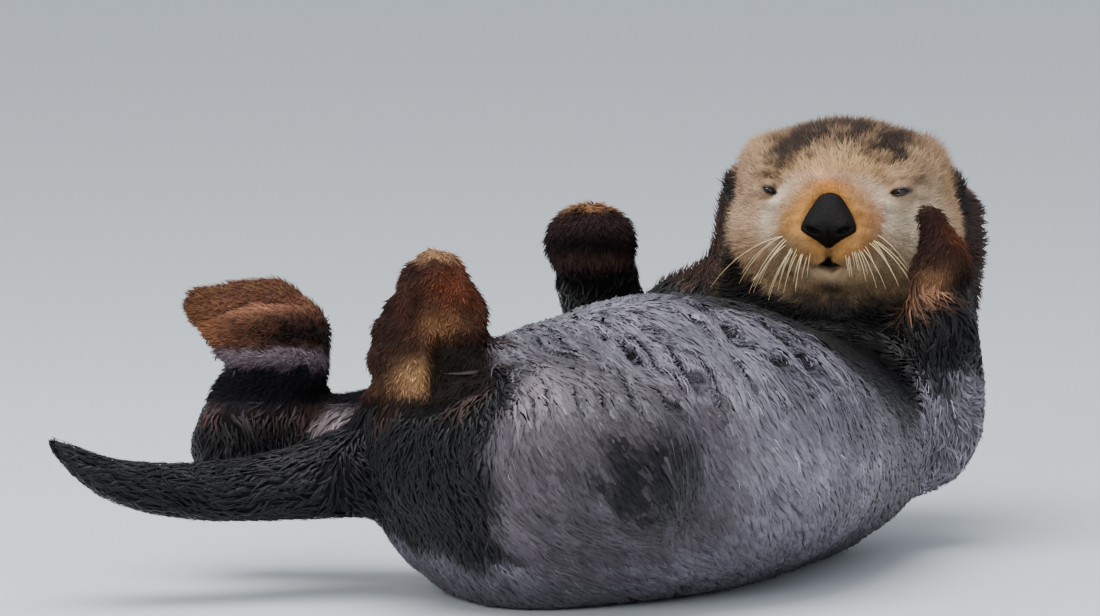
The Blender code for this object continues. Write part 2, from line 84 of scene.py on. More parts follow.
def new_material(name, **surface):
    """A material with one Principled shader; returns it, its node tree and the shader."""
    material = bpy.data.materials.new(name)
    material.use_nodes = True
    shader = material.node_tree.nodes["Principled BSDF"]
    for socket, value in surface.items():
        shader.inputs[socket.replace("_", " ")].default_value = value
    return material, material.node_tree, shader


def deselect():
    bpy.ops.object.select_all(action="DESELECT")


def new_object(name, data):
    obj = bpy.data.objects.new(name, data)
    bpy.context.scene.collection.objects.link(obj)
    return obj


deselect()
bpy.ops.mesh.primitive_plane_add(size=FLOOR_WIDTH)
floor = bpy.context.object
floor.name = "floor"
painted = new_material("matt_painted_floor", Base_Color=(*linear(FLOOR_COLOUR), 1), Roughness=0.8)
floor.data.materials.append(painted[0])

world = bpy.data.worlds.new("overcast")
world.use_nodes = True
background = world.node_tree.nodes["Background"]
background.inputs["Color"].default_value = (*linear(SKY_COLOUR), 1)
background.inputs["Strength"].default_value = SKY_STRENGTH
bpy.context.scene.world = world


def add_light(name, place, target, size, power):
    """A square soft box aimed at a point."""
    light = bpy.data.lights.new(name, "AREA")
    light.size = size
    light.energy = power
    lamp = new_object(name, light)
    lamp.location = place
    lamp.rotation_euler = (Vector(target) - Vector(place)).to_track_quat("-Z", "Y").to_euler()


add_light("overhead_light", (-0.4, -0.5, 2.6), (0, 0, 0.1), 2.2, 78)
add_light("front_light", (-1.2, -3.0, 1.3), (0.1, 0, 0.15), 1.6, 46)

camera_data = bpy.data.cameras.new("camera")
camera_data.lens = LENS
camera_data.clip_end = 60
camera = new_object("camera", camera_data)
towards_camera = Vector((0, -math.cos(VIEW_ELEVATION), math.sin(VIEW_ELEVATION)))
camera.location = VIEW_MIDDLE + VIEW_DISTANCE * towards_camera
camera.rotation_euler = (-towards_camera).to_track_quat("-Z", "Y").to_euler()
bpy.context.scene.camera = camera


# ------------------------------------------------------------------ the skin
# The hide under the fur, in one piece from nose to tail. It is the flesh with its coat's depth
# taken off, made by fusing all its lengths, and its face has lids, lips and puffed whisker pads.

VOXEL = 0.0042
FLESH = [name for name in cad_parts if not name.startswith(("claw", "eye", "nose"))]

# The coat of each length of the body: its depth over the skin in metres, the lie of its hair as
# a direction that is then laid on the surface, and its main colour.
BODY = {
    "head": (0.0058, (0, 0, 1), "#cfa67a"),
    "ear_left": (0.0010, (0.3, 0.8, 0.5), "#1d1512"),
    "ear_right": (0.0010, (-0.3, 0.8, 0.5), "#1d1512"),
    "neck": (0.0080, (0.75, 0.2, -0.45), "#3e2b25"),
    "chest": (0.0052, (0.45, 0.10, -0.80), "#67636a"),
    "belly": (0.0045, (0.50, 0.05, -0.80), "#716d78"),
    "pelvis": (0.0045, (0.25, 0.0, -0.80), "#5f5b64"),
    "thigh_left": (0.0040, (0.55, 0, -0.80), "#534c53"),
    "thigh_right": (0.0045, (-0.2, 0.3, -0.9), "#3a3436"),
    "shank_left": (0.0040, (0.55, 0.1, -0.8), "#100f12"),
    "shank_right": (0.0040, (-0.3, 0, -0.95), "#0f0d0f"),
    "hind_foot_left": (0.0030, (-0.1, 0.1, -1), "#321d15"),
    "hind_foot_right": (0.0030, (-1, 0, -0.2), "#633f30"),
    "upper_arm_left": (0.0055, (0.35, 0, -0.9), "#222025"),
    "forearm_left": (0.0050, (0.10, 0, -0.95), "#1a181c"),
    "forepaw_left": (0.0026, (-0.35, 0, -0.9), "#2c1c17"),
    "upper_arm_right": (0.0065, (0.15, 0.0, 1.0), "#3d2b24"),
    "forearm_right": (0.0055, (0.10, 0, 1.0), "#110e0f"),
    "forepaw_right": (0.0026, (0, -0.3, -0.9), "#221613"),
    "tail_base": (0.0045, (-1, -0.2, -0.1), "#141315"),
    "tail_tip": (0.0035, (-1, -0.2, 0.1), "#0d0e10"),
}


def middle(node):
    low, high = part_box(node)
    return (Vector(low) + Vector(high)) / 2


# The head's own frame: origin between the eyes, x to its left, y forward, z up.
HEAD_YAW = math.radians(8.5)
HEAD_PITCH = math.radians(5)
head_turn = Matrix.Rotation(math.pi - HEAD_YAW, 4, "Z") @ Matrix.Rotation(HEAD_PITCH, 4, "X")
head_origin = (middle("eye_left") + middle("eye_right")) / 2
head_frame = Matrix.Translation(head_origin) @ head_turn @ Matrix.Diagonal((-1, 1, 1, 1))
HEAD_AXES = np.array(head_frame.to_3x3())
EYE_OUT = 0.0485  # half the distance between the eyes
EYE_SUNK = 0.0020  # how far the eyeballs sit behind the line between the solids' middles
EYE_RADIUS = 0.0065
# The gap between the lids: place out from and over the eyeball's middle, half-length,
# half-height and tilt. The right eye is nearly shut.
SLITS = {
    1: (0.0000, -0.0010, 0.0070, 0.0022, math.radians(8)),
    -1: (-0.0016, -0.0012, 0.0052, 0.0020, math.radians(27)),
}


def in_head(points):
    """World points in the head's own frame."""
    return (np.asarray(points) - np.array(head_origin)) @ HEAD_AXES


def to_world(points):
    return np.asarray(points) @ HEAD_AXES.T + np.array(head_origin)


def in_slit(which, x, z):
    """Place along and across the gap between the lids of one eye."""
    out, over, _, _, tilt = SLITS[which]
    x, z = which * x - EYE_OUT - out, z - over
    return x * math.cos(tilt) + z * math.sin(tilt), -x * math.sin(tilt) + z * math.cos(tilt)


def unit(vectors):
    return vectors / np.maximum(np.linalg.norm(vectors, axis=-1, keepdims=True), 1e-9)


def select_only(obj):
    deselect()
    obj.select_set(True)
    bpy.context.view_layer.objects.active = obj


def edit_all(operator, **settings):
    """Runs an edit-mode operator on the whole of the active mesh."""
    bpy.ops.object.mode_set(mode="EDIT")
    bpy.ops.mesh.select_all(action="SELECT")
    operator(**settings)
    bpy.ops.object.mode_set(mode="OBJECT")


def take_copy(name, nodes):
    """One new object that holds copies of these CAD meshes, its doubles merged."""
    deselect()
    for node in nodes:
        copy = new_object(name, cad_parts[node].data.copy())
        copy.select_set(True)
        bpy.context.view_layer.objects.active = copy
    if len(nodes) > 1:
        bpy.ops.object.join()
    joined = bpy.context.object
    joined.name = name
    edit_all(bpy.ops.mesh.remove_doubles, threshold=0.00001)
    return joined


def apply_modifier(obj, kind, **settings):
    modifier = obj.modifiers.new(kind.lower(), kind)
    for name, value in settings.items():
        setattr(modifier, name, value)
    bpy.context.view_layer.objects.active = obj
    bpy.ops.object.modifier_apply(modifier=modifier.name)


def read(items, key, width, kind=np.float32):
    """One property of all these items of a mesh, a row of numbers for each."""
    values = np.empty(len(items) * width, kind)
    items.foreach_get(key, values)
    return values.reshape(-1, width)


def points_of(mesh):
    return read(mesh.vertices, "co", 3).astype(float)


def normals_of(mesh):
    return read(mesh.vertex_normals, "vector", 3).astype(float)


def set_points(mesh, co):
    mesh.vertices.foreach_set("co", co.astype(np.float32).ravel())
    mesh.update()


def subdivide_near(obj, chosen):
    """Halves the faces whose points are all chosen."""
    bpy.context.view_layer.objects.active = obj
    bpy.ops.object.mode_set(mode="EDIT")
    bpy.ops.mesh.select_all(action="DESELECT")
    bpy.ops.object.mode_set(mode="OBJECT")
    obj.data.vertices.foreach_set("select", chosen)
    bpy.ops.object.mode_set(mode="EDIT")
    bpy.ops.mesh.select_mode(type="VERT")
    bpy.ops.mesh.subdivide(number_cuts=1)
    bpy.ops.object.mode_set(mode="OBJECT")


def step(low, high, values):
    """0 below low, 1 above high, smooth between."""
    share = np.clip((values - low) / (high - low), 0, 1)
    return share * share * (3 - 2 * share)


def smooth_between(values, t):
    """A curve through the values (Catmull-Rom), read at t, where 1 is the second value."""
    last = len(values) - 1
    i = min(int(t), last - 1)
    f = t - i
    a, b, c, d = (np.array(values[min(max(k, 0), last)]) for k in (i - 1, i, i + 1, i + 2))
    bent = (2 * a - 5 * b + 4 * c - d) * f**2
    return 0.5 * (2 * b + (c - a) * f + bent + (3 * b - a - 3 * c + d) * f**3)


# The trunk is measured along its spine and across, from the middle of the belly round to each
# side, both in metres.
SPINE_HEIGHT = 0.100
GIRTH = 0.110
spine_marks = [middle(n)[:2] for n in ("tail_base", "pelvis", "belly", "chest", "neck")]
spine = np.array([smooth_between(spine_marks, t) for t in np.linspace(0, 4, 49)])
spine_legs = np.linalg.norm(np.diff(spine, axis=0), axis=1)
spine_run = np.concatenate([[0], np.cumsum(spine_legs)])


def on_trunk(points):
    """Distance along the spine, distance across, and the spine's heading there."""
    best = np.full(len(points), 9.0)
    along, aside = np.zeros(len(points)), np.zeros(len(points))
    heading = np.zeros((len(points), 3))
    for k, leg in enumerate(spine_legs):
        ahead = (spine[k + 1] - spine[k]) / leg
        t = np.clip((points[:, :2] - spine[k]) @ ahead, 0, leg)
        off = points[:, :2] - spine[k] - t[:, None] * ahead
        far = np.linalg.norm(off, axis=1)
        nearer = far < best
        best[nearer] = far[nearer]
        along[nearer] = spine_run[k] + t[nearer]
        to_left = off @ np.array([ahead[1], -ahead[0]])
        aside[nearer] = (far * np.sign(to_left))[nearer]
        heading[nearer] = (*ahead, 0)
    return along, GIRTH * np.arctan2(aside, points[:, 2] - SPINE_HEIGHT), heading


# Fringed partings of the wet belly's left side, in millimetres: the two ends of each, along and
# across the trunk, then how far it gapes. The right side has the same ones, each a little moved.
LEFT_PARTINGS = (
    (214, 63, 227, 102, 7.5), (221, 61, 236, 106, 4.1), (236, 69, 248, 116, 7.5),
    (248, 85, 257, 130, 6.5), (232, 54, 241, 72, 4.1), (258, 43, 260, 68, 3),
    (268, 52, 270, 74, 3.4), (268, 78, 284, 106, 4.5), (282, 96, 284, 130, 4.4),
    (291, 60, 293, 86, 3.7), (290, 88, 293, 110, 4.4), (299, 100, 301, 133, 3.7),
    (141, 51, 146, 70, 4.1), (145, 73, 158, 97, 4.4), (172, 54, 189, 72, 4.1),
    (172, 78, 199, 92, 4.8), (204, 27, 215, 52, 4.1), (199, 76, 205, 94, 3),
    (219, 8, 235, 31, 4.4), (246, 20, 252, 40, 3.7), (184, 30, 197, 40, 3.7),
    (154, 20, 168, 38, 4.1), (268, 18, 271, 40, 3.7), (301, 62, 305, 90, 3.7),
    (310, 100, 317, 134, 3.7), (316, 70, 322, 96, 3.4),
)
PARTINGS = [tuple(value / 1000 for value in row) for row in LEFT_PARTINGS]
random = np.random.default_rng(5)
for row in list(PARTINGS):
    shifts = random.uniform(-0.006, 0.006, 4)
    start = (row[0] + shifts[0], -row[1] + shifts[1])
    end = (row[2] + shifts[2], -row[3] + shifts[3])
    PARTINGS.append((*start, *end, row[4]))
# Finer ones fill the spaces between them.
for s in np.arange(0.150, 0.335, 0.013):
    for a in np.arange(-0.135, 0.136, 0.022):
        where = np.array([s, a]) + random.uniform(-0.006, 0.006, 2)
        size = random.uniform(0.007, 0.014)
        clear = [np.hypot(*(where - (np.array(row[:2]) + row[2:4]) / 2)) for row in PARTINGS]
        if min(clear) > 0.011 and abs(where[1]) > 0.012:
            reach = np.array([0.25, np.sign(a)]) * size
            PARTINGS.append((*(where - reach), *(where + reach), random.uniform(0.0018, 0.0034)))
WIDEST = 0.13  # most that a parting gapes, over its length
for k, row in enumerate(PARTINGS):
    widest = WIDEST * math.hypot(row[2] - row[0], row[3] - row[1])
    PARTINGS[k] = (*row[:4], min(row[4], widest))
PARTING_BOW = 0.0040  # how far the lip of a parting curves out from a straight line
PARTING_DEPTH = 0.0034


def parting_axes(row):
    """A parting's start, its chord, its length and the way from the chord to its lip."""
    start, chord = np.array(row[:2]), np.array(row[2:4]) - np.array(row[:2])
    size = np.linalg.norm(chord)
    return start, chord, size, np.array([abs(chord[1]), -chord[0] * np.sign(chord[1])]) / size


def in_parting(row, along, aside):
    """Share of the way down a parting, distance off its lip, and its width there."""
    start, chord, size, to_lip = parting_axes(row)
    off = np.stack([along, aside], axis=-1) - start
    t = off @ chord / size**2
    q = off @ to_lip - 4 * PARTING_BOW * t * (1 - t)
    width = row[4] * np.sin(math.pi * np.clip(t, 0.01, 0.99) ** 1.15) ** 0.7
    return t, q, width


def opened_by_partings(along, aside):
    """How open the coat is, and how deep: deepest right under the lip, level at the far edge."""
    opened, deep = np.zeros(len(along)), np.zeros(len(along))
    for row in PARTINGS:
        t, q, width = in_parting(row, along, aside)
        within = step(-0.02, 0.08, t) * (1 - step(0.92, 1.02, t))
        across = step(-0.0012, 0.0012, q + width) * (1 - step(-0.0010, 0.0006, q)) * within
        opened = np.maximum(opened, across)
        hollowed = np.clip(1 + q / np.maximum(width, 0.001), 0, 1) ** 0.7
        deep = np.maximum(deep, across * hollowed * min(1, row[4] / 0.005))
    return opened, deep


PRESSED = 0.7  # share of the coat's depth that the weight of the back takes up

skin = take_copy("skin", FLESH)
apply_modifier(skin, "REMESH", mode="VOXEL", voxel_size=VOXEL)
apply_modifier(skin, "SMOOTH", factor=0.5, iterations=8)

MUZZLE_HEIGHT = -0.036
LIPS_HEIGHT = -0.0560
head_points = in_head(points_of(skin.data))
face_near = (head_points[:, 1] > -0.055) & (np.abs(head_points[:, 2] + 0.015) < 0.075)
along, aside, _ = on_trunk(points_of(skin.data))
parting_near = np.zeros(len(along), bool)
for row in PARTINGS:
    t, q, width = in_parting(row, along, aside)
    parting_near |= (np.abs(q + width / 2) < 0.0092) & (t > -0.2) & (t < 1.2)
subdivide_near(skin, face_near | parting_near)
head_points = in_head(points_of(skin.data))
eye_near = np.hypot(np.abs(head_points[:, 0]) - EYE_OUT, head_points[:, 2]) < 0.016
lips_near = np.hypot(head_points[:, 0], 1.3 * (head_points[:, 2] - LIPS_HEIGHT)) < 0.022
subdivide_near(skin, (eye_near | lips_near) & (head_points[:, 1] > -0.02))

# Which length of the body each point of the skin belongs to.
flesh_points, flesh_faces, face_node = [], [], []
for index, name in enumerate(FLESH):
    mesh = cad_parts[name].data
    start = len(flesh_points)
    flesh_points += [vert.co[:] for vert in mesh.vertices]
    flesh_faces += [[start + k for k in face.vertices] for face in mesh.polygons]
    face_node += [index] * len(mesh.polygons)
flesh_tree = BVHTree.FromPolygons(flesh_points, flesh_faces)
co = points_of(skin.data)
label = np.array([face_node[flesh_tree.find_nearest(Vector(p))[2]] for p in co])

edges = read(skin.data.edges, "vertices", 2, np.int64)
neighbours = np.bincount(edges.ravel(), minlength=len(co))[:, None]


def spread(values, rounds):
    """A value per point of the skin, evened out over its neighbours."""
    values = np.array(values, float)
    flat = values.reshape(len(values), -1)
    for _ in range(rounds):
        total = np.zeros_like(flat)
        for k in range(flat.shape[1]):
            total[:, k] = np.bincount(edges[:, 0], flat[edges[:, 1], k], len(flat))
            total[:, k] += np.bincount(edges[:, 1], flat[edges[:, 0], k], len(flat))
        flat = 0.5 * flat + 0.5 * total / neighbours
    return flat.reshape(values.shape)


def is_part(*names):
    """1 on the points of these lengths of the body, 0 elsewhere."""
    return np.isin(label, [FLESH.index(name) for name in names]).astype(float)


def bump(x, z, centre, radii, turn=0.0):
    """A smooth round mask, 1 at its centre; centre and radii in metres."""
    dx, dz = x - centre[0], z - centre[1]
    c, s = math.cos(turn), math.sin(turn)
    u, w = (c * dx + s * dz) / radii[0], (-s * dx + c * dz) / radii[1]
    return np.exp(-(u**2) - w**2)


def off_line(x, z, line):
    """Distance from a line of points, each given across and up."""
    nearest = np.full(len(x), 9.0)
    for (x0, z0), (x1, z1) in zip(line, line[1:]):
        leg = np.array([x1 - x0, z1 - z0])
        t = np.clip(((x - x0) * leg[0] + (z - z0) * leg[1]) / (leg @ leg), 0, 1)
        nearest = np.minimum(nearest, np.hypot(x - x0 - t * leg[0], z - z0 - t * leg[1]))
    return nearest


FRONT_LEAN = math.radians(6.5)  # the fronts of the feet and paws face this much upwards


def front_of(node):
    """Places of the skin's points across and up the front of a foot or paw, from its middle."""
    off = co - np.array(middle(node))
    return off[:, 0], off[:, 2] * math.cos(FRONT_LEAN) + off[:, 1] * math.sin(FRONT_LEAN)


depth = np.array([BODY[FLESH[k]][0] for k in label])
head_points = in_head(co)
hx, hy, hz = head_points.T
side = np.abs(hx)
front = step(-0.02, 0.005, hy)
on_head = spread(is_part("head"), 6)
trunk = spread(is_part("chest", "belly", "pelvis", "thigh_left"), 4)
muzzle = on_head * front * bump(hx, hz, (0, MUZZLE_HEIGHT), (0.034, 0.036))
depth = spread(depth, 10)
depth *= 1 - PRESSED * (1 - step(0.003, 0.014, co[:, 2]))
depth -= 0.0022 * muzzle
for which in (-1, 1):
    depth -= 0.0038 * on_head * front * bump(which * hx, hz, (EYE_OUT, 0), (0.014, 0.010))
normals = normals_of(skin.data)
co -= normals * depth[:, None]
along, aside, heading = on_trunk(co)
opened, gully = (share * trunk for share in opened_by_partings(along, aside))
lip = np.zeros(len(co))
for row in PARTINGS:
    t, q, _ = in_parting(row, along, aside)
    edge = np.exp(-(((q - 0.0022) / 0.0022) ** 2)) * step(0.0, 0.2, t) * (1 - step(0.85, 1.0, t))
    lip = np.maximum(lip, edge * trunk)

# Fine forms of the face, as heights over the skin. Those in the loop are on both sides.
EYE_CREASES = (
    ((EYE_OUT + 0.014, -0.006), (0.008, 0.0014), -0.15),
    ((EYE_OUT + 0.015, -0.0105), (0.008, 0.0013), -0.3),
)
relief = np.zeros(len(co))
for which in (-1, 1):
    for height, *form in (
        (-0.0030, (EYE_OUT - 0.006, 0.004), (0.013, 0.008)),
        (0.0032, (EYE_OUT + 0.002, 0.0125), (0.017, 0.0045), 0.15),
        (0.0024, (EYE_OUT + 0.002, -0.0105), (0.013, 0.0040), -0.1),
        (0.0052, (0.020, -0.042), (0.014, 0.012)),
        (-0.0014, *EYE_CREASES[0]),
        (-0.0012, *EYE_CREASES[1]),
    ):
        relief += height * bump(which * hx, hz, *form)
muzzle_edge = np.hypot((hx + 0.002) / 0.040, (hz + 0.026) / 0.033)
relief += 0.0030 * (1 - step(0.78, 1.10, muzzle_edge))
mouth_half = 0.0016 + 0.0070 * step(-0.0495, -0.0590, hz)
rise = 0.25 * side
mouth = (1 - step(0.7, 1.3, side / mouth_half)) * step(-0.0635 + rise, -0.0600 + rise, hz)
mouth *= 1 - step(-0.0515, -0.0475, hz)
relief -= 0.0035 * bump(hx, hz, (0, -0.046), (0.0022, 0.006)) + 0.0070 * mouth
relief += 0.0034 * bump(hx, hz, (0, -0.0690), (0.0125, 0.0050))
relief -= 0.0025 * bump(hx, hz, (0, -0.0765), (0.016, 0.0025))
co += normals * (relief * on_head * front)[:, None]
temples = on_head * bump(side, hz, (0.072, 0.034), (0.022, 0.022)) * step(-0.10, -0.06, hy)
co += normals * (0.0046 * temples)[:, None]


def ripple(points, size, seed):
    """Smooth seeded variation over space, about -1 to 1, in patches of this size."""
    rng = np.random.default_rng(seed)
    waves = unit(rng.normal(size=(9, 3))) * rng.uniform(0.5, 1.4, (9, 1)) * math.pi / size
    return np.sin(points @ waves.T + rng.uniform(0, 2 * math.pi, 9)).sum(1) / 3


# Partings of the wet belly, folds of the far foot and hollows of the near one.
FAR_FOOT_FOLDS = (
    (
        0.0048,
        ((-0.0665, 0.0130), (-0.0509, 0.0201), (-0.0275, 0.0300), (0.0044, 0.0257), (0.0243, 0.0073)),
    ),
    (0.0050, ((-0.0488, -0.0048), (-0.0275, -0.0069), (-0.0027, -0.0033), (0.0151, -0.0083))),
    (0.0034, ((-0.0488, -0.0211), (-0.0204, -0.0232), (0.0080, -0.0225))),
)
faces_front = step(0.15, 0.5, -normals[:, 1])
folded = 0.0016 * lip * (1 - opened) - PARTING_DEPTH * gully
far_x, far_z = front_of("hind_foot_right")
far_foot = spread(is_part("hind_foot_right"), 3)
far_sole = far_foot * faces_front
for deep, line in FAR_FOOT_FOLDS:
    folded -= deep * far_sole * np.exp(-((off_line(far_x, far_z, line) / 0.0035) ** 2))
for height, where, *form in (
    (0.0030, far_sole, (-0.020, -0.0130), (0.034, 0.0060)),
    (0.0040, far_sole, (-0.026, 0.0120), (0.040, 0.0070), 0.10),
    (0.0075, far_foot, (0.030, 0.018), (0.016, 0.016)),
    (0.0060, far_foot, (-0.076, 0.018), (0.012, 0.014)),
):
    folded += height * where * bump(far_x, far_z, *form)
lumps = ripple(co, 0.007, 15)
near_x, near_z = front_of("hind_foot_left")
near_foot = spread(is_part("hind_foot_left"), 3)
hollow = step(0.002, 0.010, near_x - 0.12 * near_z) * (1 - step(-0.012, 0.002, near_z))
folded -= 0.0060 * near_foot * faces_front * hollow
folded += 0.0012 * near_foot * lumps
pad = bump(*front_of("forepaw_left"), (-0.0100, 0.0240), (0.011, 0.010))
folded += 0.0050 * spread(is_part("forepaw_left"), 2) * pad
co += normals * folded[:, None]

# Lids: drawn over the eyeballs but for a slit, behind which the skin turns in.
LID = 0.0008  # thickness of the lids over the eyeball
TURNED_IN = -0.004  # where the skin behind the slit lies, forward of the eyeball's middle
for which in (-1, 1):
    local = in_head(co) - (which * EYE_OUT, -EYE_SUNK, 0)
    u, w = in_slit(which, local[:, 0] + which * EYE_OUT, local[:, 2])
    radius = np.hypot(local[:, 0], local[:, 2])
    reach = (local[:, 1] > -0.012) * (1 - step(0.0065, 0.0120, radius))
    over_ball = np.sqrt(np.maximum((EYE_RADIUS + LID) ** 2 - radius**2, 0))
    gap = (u / SLITS[which][2]) ** 2 + np.abs(w / SLITS[which][3])
    lid = np.where(gap < 1.0, TURNED_IN, np.maximum(local[:, 1], over_ball))
    local[:, 1] += reach * (lid - local[:, 1])
    co = np.where(reach[:, None] > 0, to_world(local + (which * EYE_OUT, -EYE_SUNK, 0)), co)
set_points(skin.data, co)
skin.data.shade_smooth()

# Unwrap of the skin, which the coat's own maps follow.
select_only(skin)
edit_all(bpy.ops.uv.smart_project, angle_limit=math.radians(66), island_margin=0.002)
skin.data.uv_layers.active.name = "Unwrap"

# Markings, as one colour per point of the skin, which its coat takes over.
co = points_of(skin.data)
normals = normals_of(skin.data)
head_points = in_head(co)
hx, hy, hz = head_points.T
side = np.abs(hx)
RAGGED = 0.007  # how far one colour runs into the next where two lengths of the body meet
strayed = co + RAGGED * np.stack([ripple(co, 0.012, 31 + k) for k in range(3)], axis=1)
coloured_as = [face_node[flesh_tree.find_nearest(Vector(p))[2]] for p in strayed]
in_skull = label == FLESH.index("head")
coloured_as = np.where(in_skull, label, coloured_as)
nape = (hy < -0.055) & (hz < 0.30 * (hy + 0.060) + 0.010)
coloured_as[(coloured_as == FLESH.index("head")) & (nape | ~in_skull)] = FLESH.index("neck")
palette = np.array([linear(BODY[name][2]) for name in FLESH])
colour = spread(palette[coloured_as], 4)


def paint(mask, shade):
    """Lays a colour over the markings where the mask is 1."""
    global colour
    share = np.clip(mask, 0, 1)[:, None]
    colour = colour * (1 - share) + linear(shade) * share


def dabs(part, z, rows):
    """Soft round patches of colour: strength, place across, centre, radii, colour, turn."""
    for strength, x, centre, radii, shade, *turn in rows:
        paint(strength * part * bump(x, z, centre, radii, *turn), shade)


# Where the grey of the belly gives way to the black of the neck, partly its dark fur and partly painted
# shade under the chin: across and along the trunk.
NECK_EDGE = (
    (0.025, 0.277), (0.036, 0.297), (0.058, 0.310), (0.070, 0.320),
    (0.086, 0.328), (0.112, 0.337), (0.139, 0.365), (0.157, 0.393),
)

# Trunk: grey, in streaks that run with the locks, with painted shadow low on the thigh where it folds into
# the belly, and darker up by the neck.
rough = ripple(co, 0.009, 11)
tufty = ripple(co, 0.0045, 13)
patches = ripple(co, 0.030, 17)
slanting = along - 0.5 * np.abs(aside)
drift = ripple(np.stack([9 * slanting, aside, 0 * aside], axis=1), 0.040, 12)
streaks = ripple(np.stack([6 * slanting, aside, 0 * aside], axis=1), 0.018, 18)
# Lighter and darker streaks and patches over the trunk; the large patches are partly painted sheen on the
# wet coat.
colour *= np.exp(trunk * (0.22 * drift + 0.20 * streaks + 0.14 * patches))[:, None]
wavering = along + 0.003 * rough
thigh_fold_shadow = bump(wavering, aside + 0.006 * streaks, (0.221, 0.166), (0.030, 0.028), -0.1)
speckled = 0.55 * streaks + 0.40 * tufty + 0.35 * rough
# Painted shadow, near black, low on the thigh where it folds into the belly.
paint(trunk * np.clip(thigh_fold_shadow * (1.40 + speckled) - 0.12, 0, 1), "#0a090c")
THIGH_AND_FLANK = (
    (0.4, along, (0.180, 0.120), (0.045, 0.040), "#3f3a40"),
    (0.4, wavering, (0.268, 0.160), (0.022, 0.026), "#96929c"),
    (0.45, along, (0.165, 0.125), (0.020, 0.016), "#9a8c93"),
)
dabs(trunk, aside, THIGH_AND_FLANK)
neck_edge = np.interp(np.abs(aside), *zip(*NECK_EDGE))
past_edge = along - neck_edge + 0.0035 * rough + 0.0030 * tufty + 0.002 * streaks
# Darker towards the neck, then black past its edge: partly the neck's dark fur, partly painted shade under
# the chin.
paint(0.45 * trunk * step(-0.035, -0.005, past_edge), "#4b464b")
grey_below = step(0.100, 0.118, co[:, 2] + 0.006 * rough + 0.003 * tufty)
grey_below = np.maximum(grey_below, step(-0.02, -0.06, aside))
paint(trunk * step(-0.004, 0.005, past_edge) * grey_below, "#151214")
paint(0.55 * trunk * (1 - step(0.010, 0.060, co[:, 2])), "#4a484d")
# The floor of each parting: painted shade in the hollow, near black as painted shadow right under the lip.
paint(opened, "#232026")
paint(1.2 * gully, "#100e12")
# Painted highlight along the raised lip of each parting.
paint(0.35 * lip * (1 - opened) * (1 - step(-0.025, -0.012, past_edge)), "#9b95a0")

# Face: pale pinkish fawn, a brown brow, a gold bridge and muzzle, and dark beyond the cheeks.
face = on_head * step(-0.045, -0.02, hy + 0.004 * rough)
half_width, half_height = np.where(hx < 0, 0.083, 0.090), np.where(hz < -0.02, 0.066, 0.080)
oval = np.hypot((hx - 0.006) / half_width, (hz + 0.020) / half_height)
behind_face = step(0.96, 1.06, oval + 0.03 * rough + 0.02 * tufty) * (1 - step(-0.005, 0.020, hz))
forwards = 0.018 * step(-0.04, -0.07, hx)  # the ruff starts further forward on its right
past_ears = 1 - step(-0.080, -0.052, hy - forwards + 0.010 * rough + 0.006 * tufty)
nape_edge = 0.018 + 0.30 * np.minimum(hy + 0.060, 0) + 0.012 * rough
past_ears *= 1 - step(-0.016, 0.006, hz - nape_edge)
behind_face = on_head * np.maximum(behind_face, past_ears)
paint(face * bump(hx, hz, (0, -0.026), (0.078, 0.044)), "#e3bf98")
paint(0.8 * face * bump(hx, hz, (-0.070, -0.020), (0.022, 0.030)), "#dcb695")
BROW = (
    ((-0.036, 0.022), (0.013, 0.014)),
    ((-0.022, 0.036), (0.018, 0.013)),
    ((0.008, 0.042), (0.030, 0.012)),
    ((0.036, 0.030), (0.020, 0.014)),
)
brow = np.zeros(len(co))
for centre, radii in BROW:
    brow = np.maximum(brow, bump(hx + 0.002 * tufty, hz + 0.005 * tufty, centre, radii))
brow = np.clip(1.70 * brow - 0.16 + 0.40 * tufty + 0.30 * rough, 0, 0.98)
paint(on_head * brow * step(-0.09, -0.05, hy), "#250e02")
rim = step(0.046, 0.056, hz + 0.003 * rough + 0.002 * tufty) * step(-0.12, -0.06, hy)
paint(0.94 * on_head * rim * step(0.085, 0.055, side), "#4c2709")
paint(0.5 * on_head * np.clip(rough, 0, 1) * bump(side, hz, (0.068, 0.026), (0.018, 0.016)), "#a97c5c")
paint(face * bump(hx, hz + 0.004 * tufty, (0.001, 0.014), (0.028, 0.007)), "#dfb67f")
paint(0.95 * face * (1 - step(0.70, 1.05, muzzle_edge + 0.05 * rough)), "#c48a48")
MUZZLE_AND_CHEEKS = (
    (1.0, hx, (-0.002, 0.003), (0.024, 0.009), "#ba742b"),
    (0.9, hx, (0.033, -0.020), (0.011, 0.012), "#bb7a45"),
    (0.9, muzzle_edge, (1.20, -0.018), (0.13, 0.024), "#ffecd4"),
    # Right cheek: its pale fur, lightened further as painted light where the paw's shadow falls.
    (0.9, hx, (0.058, -0.030), (0.016, 0.024), "#ffeed2"),
    (0.8, side, (0.024, -0.040), (0.020, 0.009), "#a8763a"),
    (0.8, side, (0.032, -0.058), (0.018, 0.009), "#d6b888"),
    (0.5, hx, (0.030, -0.038), (0.014, 0.008), "#8a6440"),
    (0.5, hx, (-0.030, -0.040), (0.014, 0.008), "#8c8570"),
)
dabs(face, hz, MUZZLE_AND_CHEEKS)
paint(0.9 * face * step(-0.068, -0.080, hz + 0.003 * rough) * (side < 0.070), "#4a3a30")
# Painted light on the right cheek, against the shadow of the paw.
paint(0.5 * face * bump(hx, hz, (0.072, -0.020), (0.014, 0.022)), "#f3dcc0")
paint(0.6 * face * np.clip(tufty, 0, 1) * step(-0.064, -0.072, hz), "#b08e66")
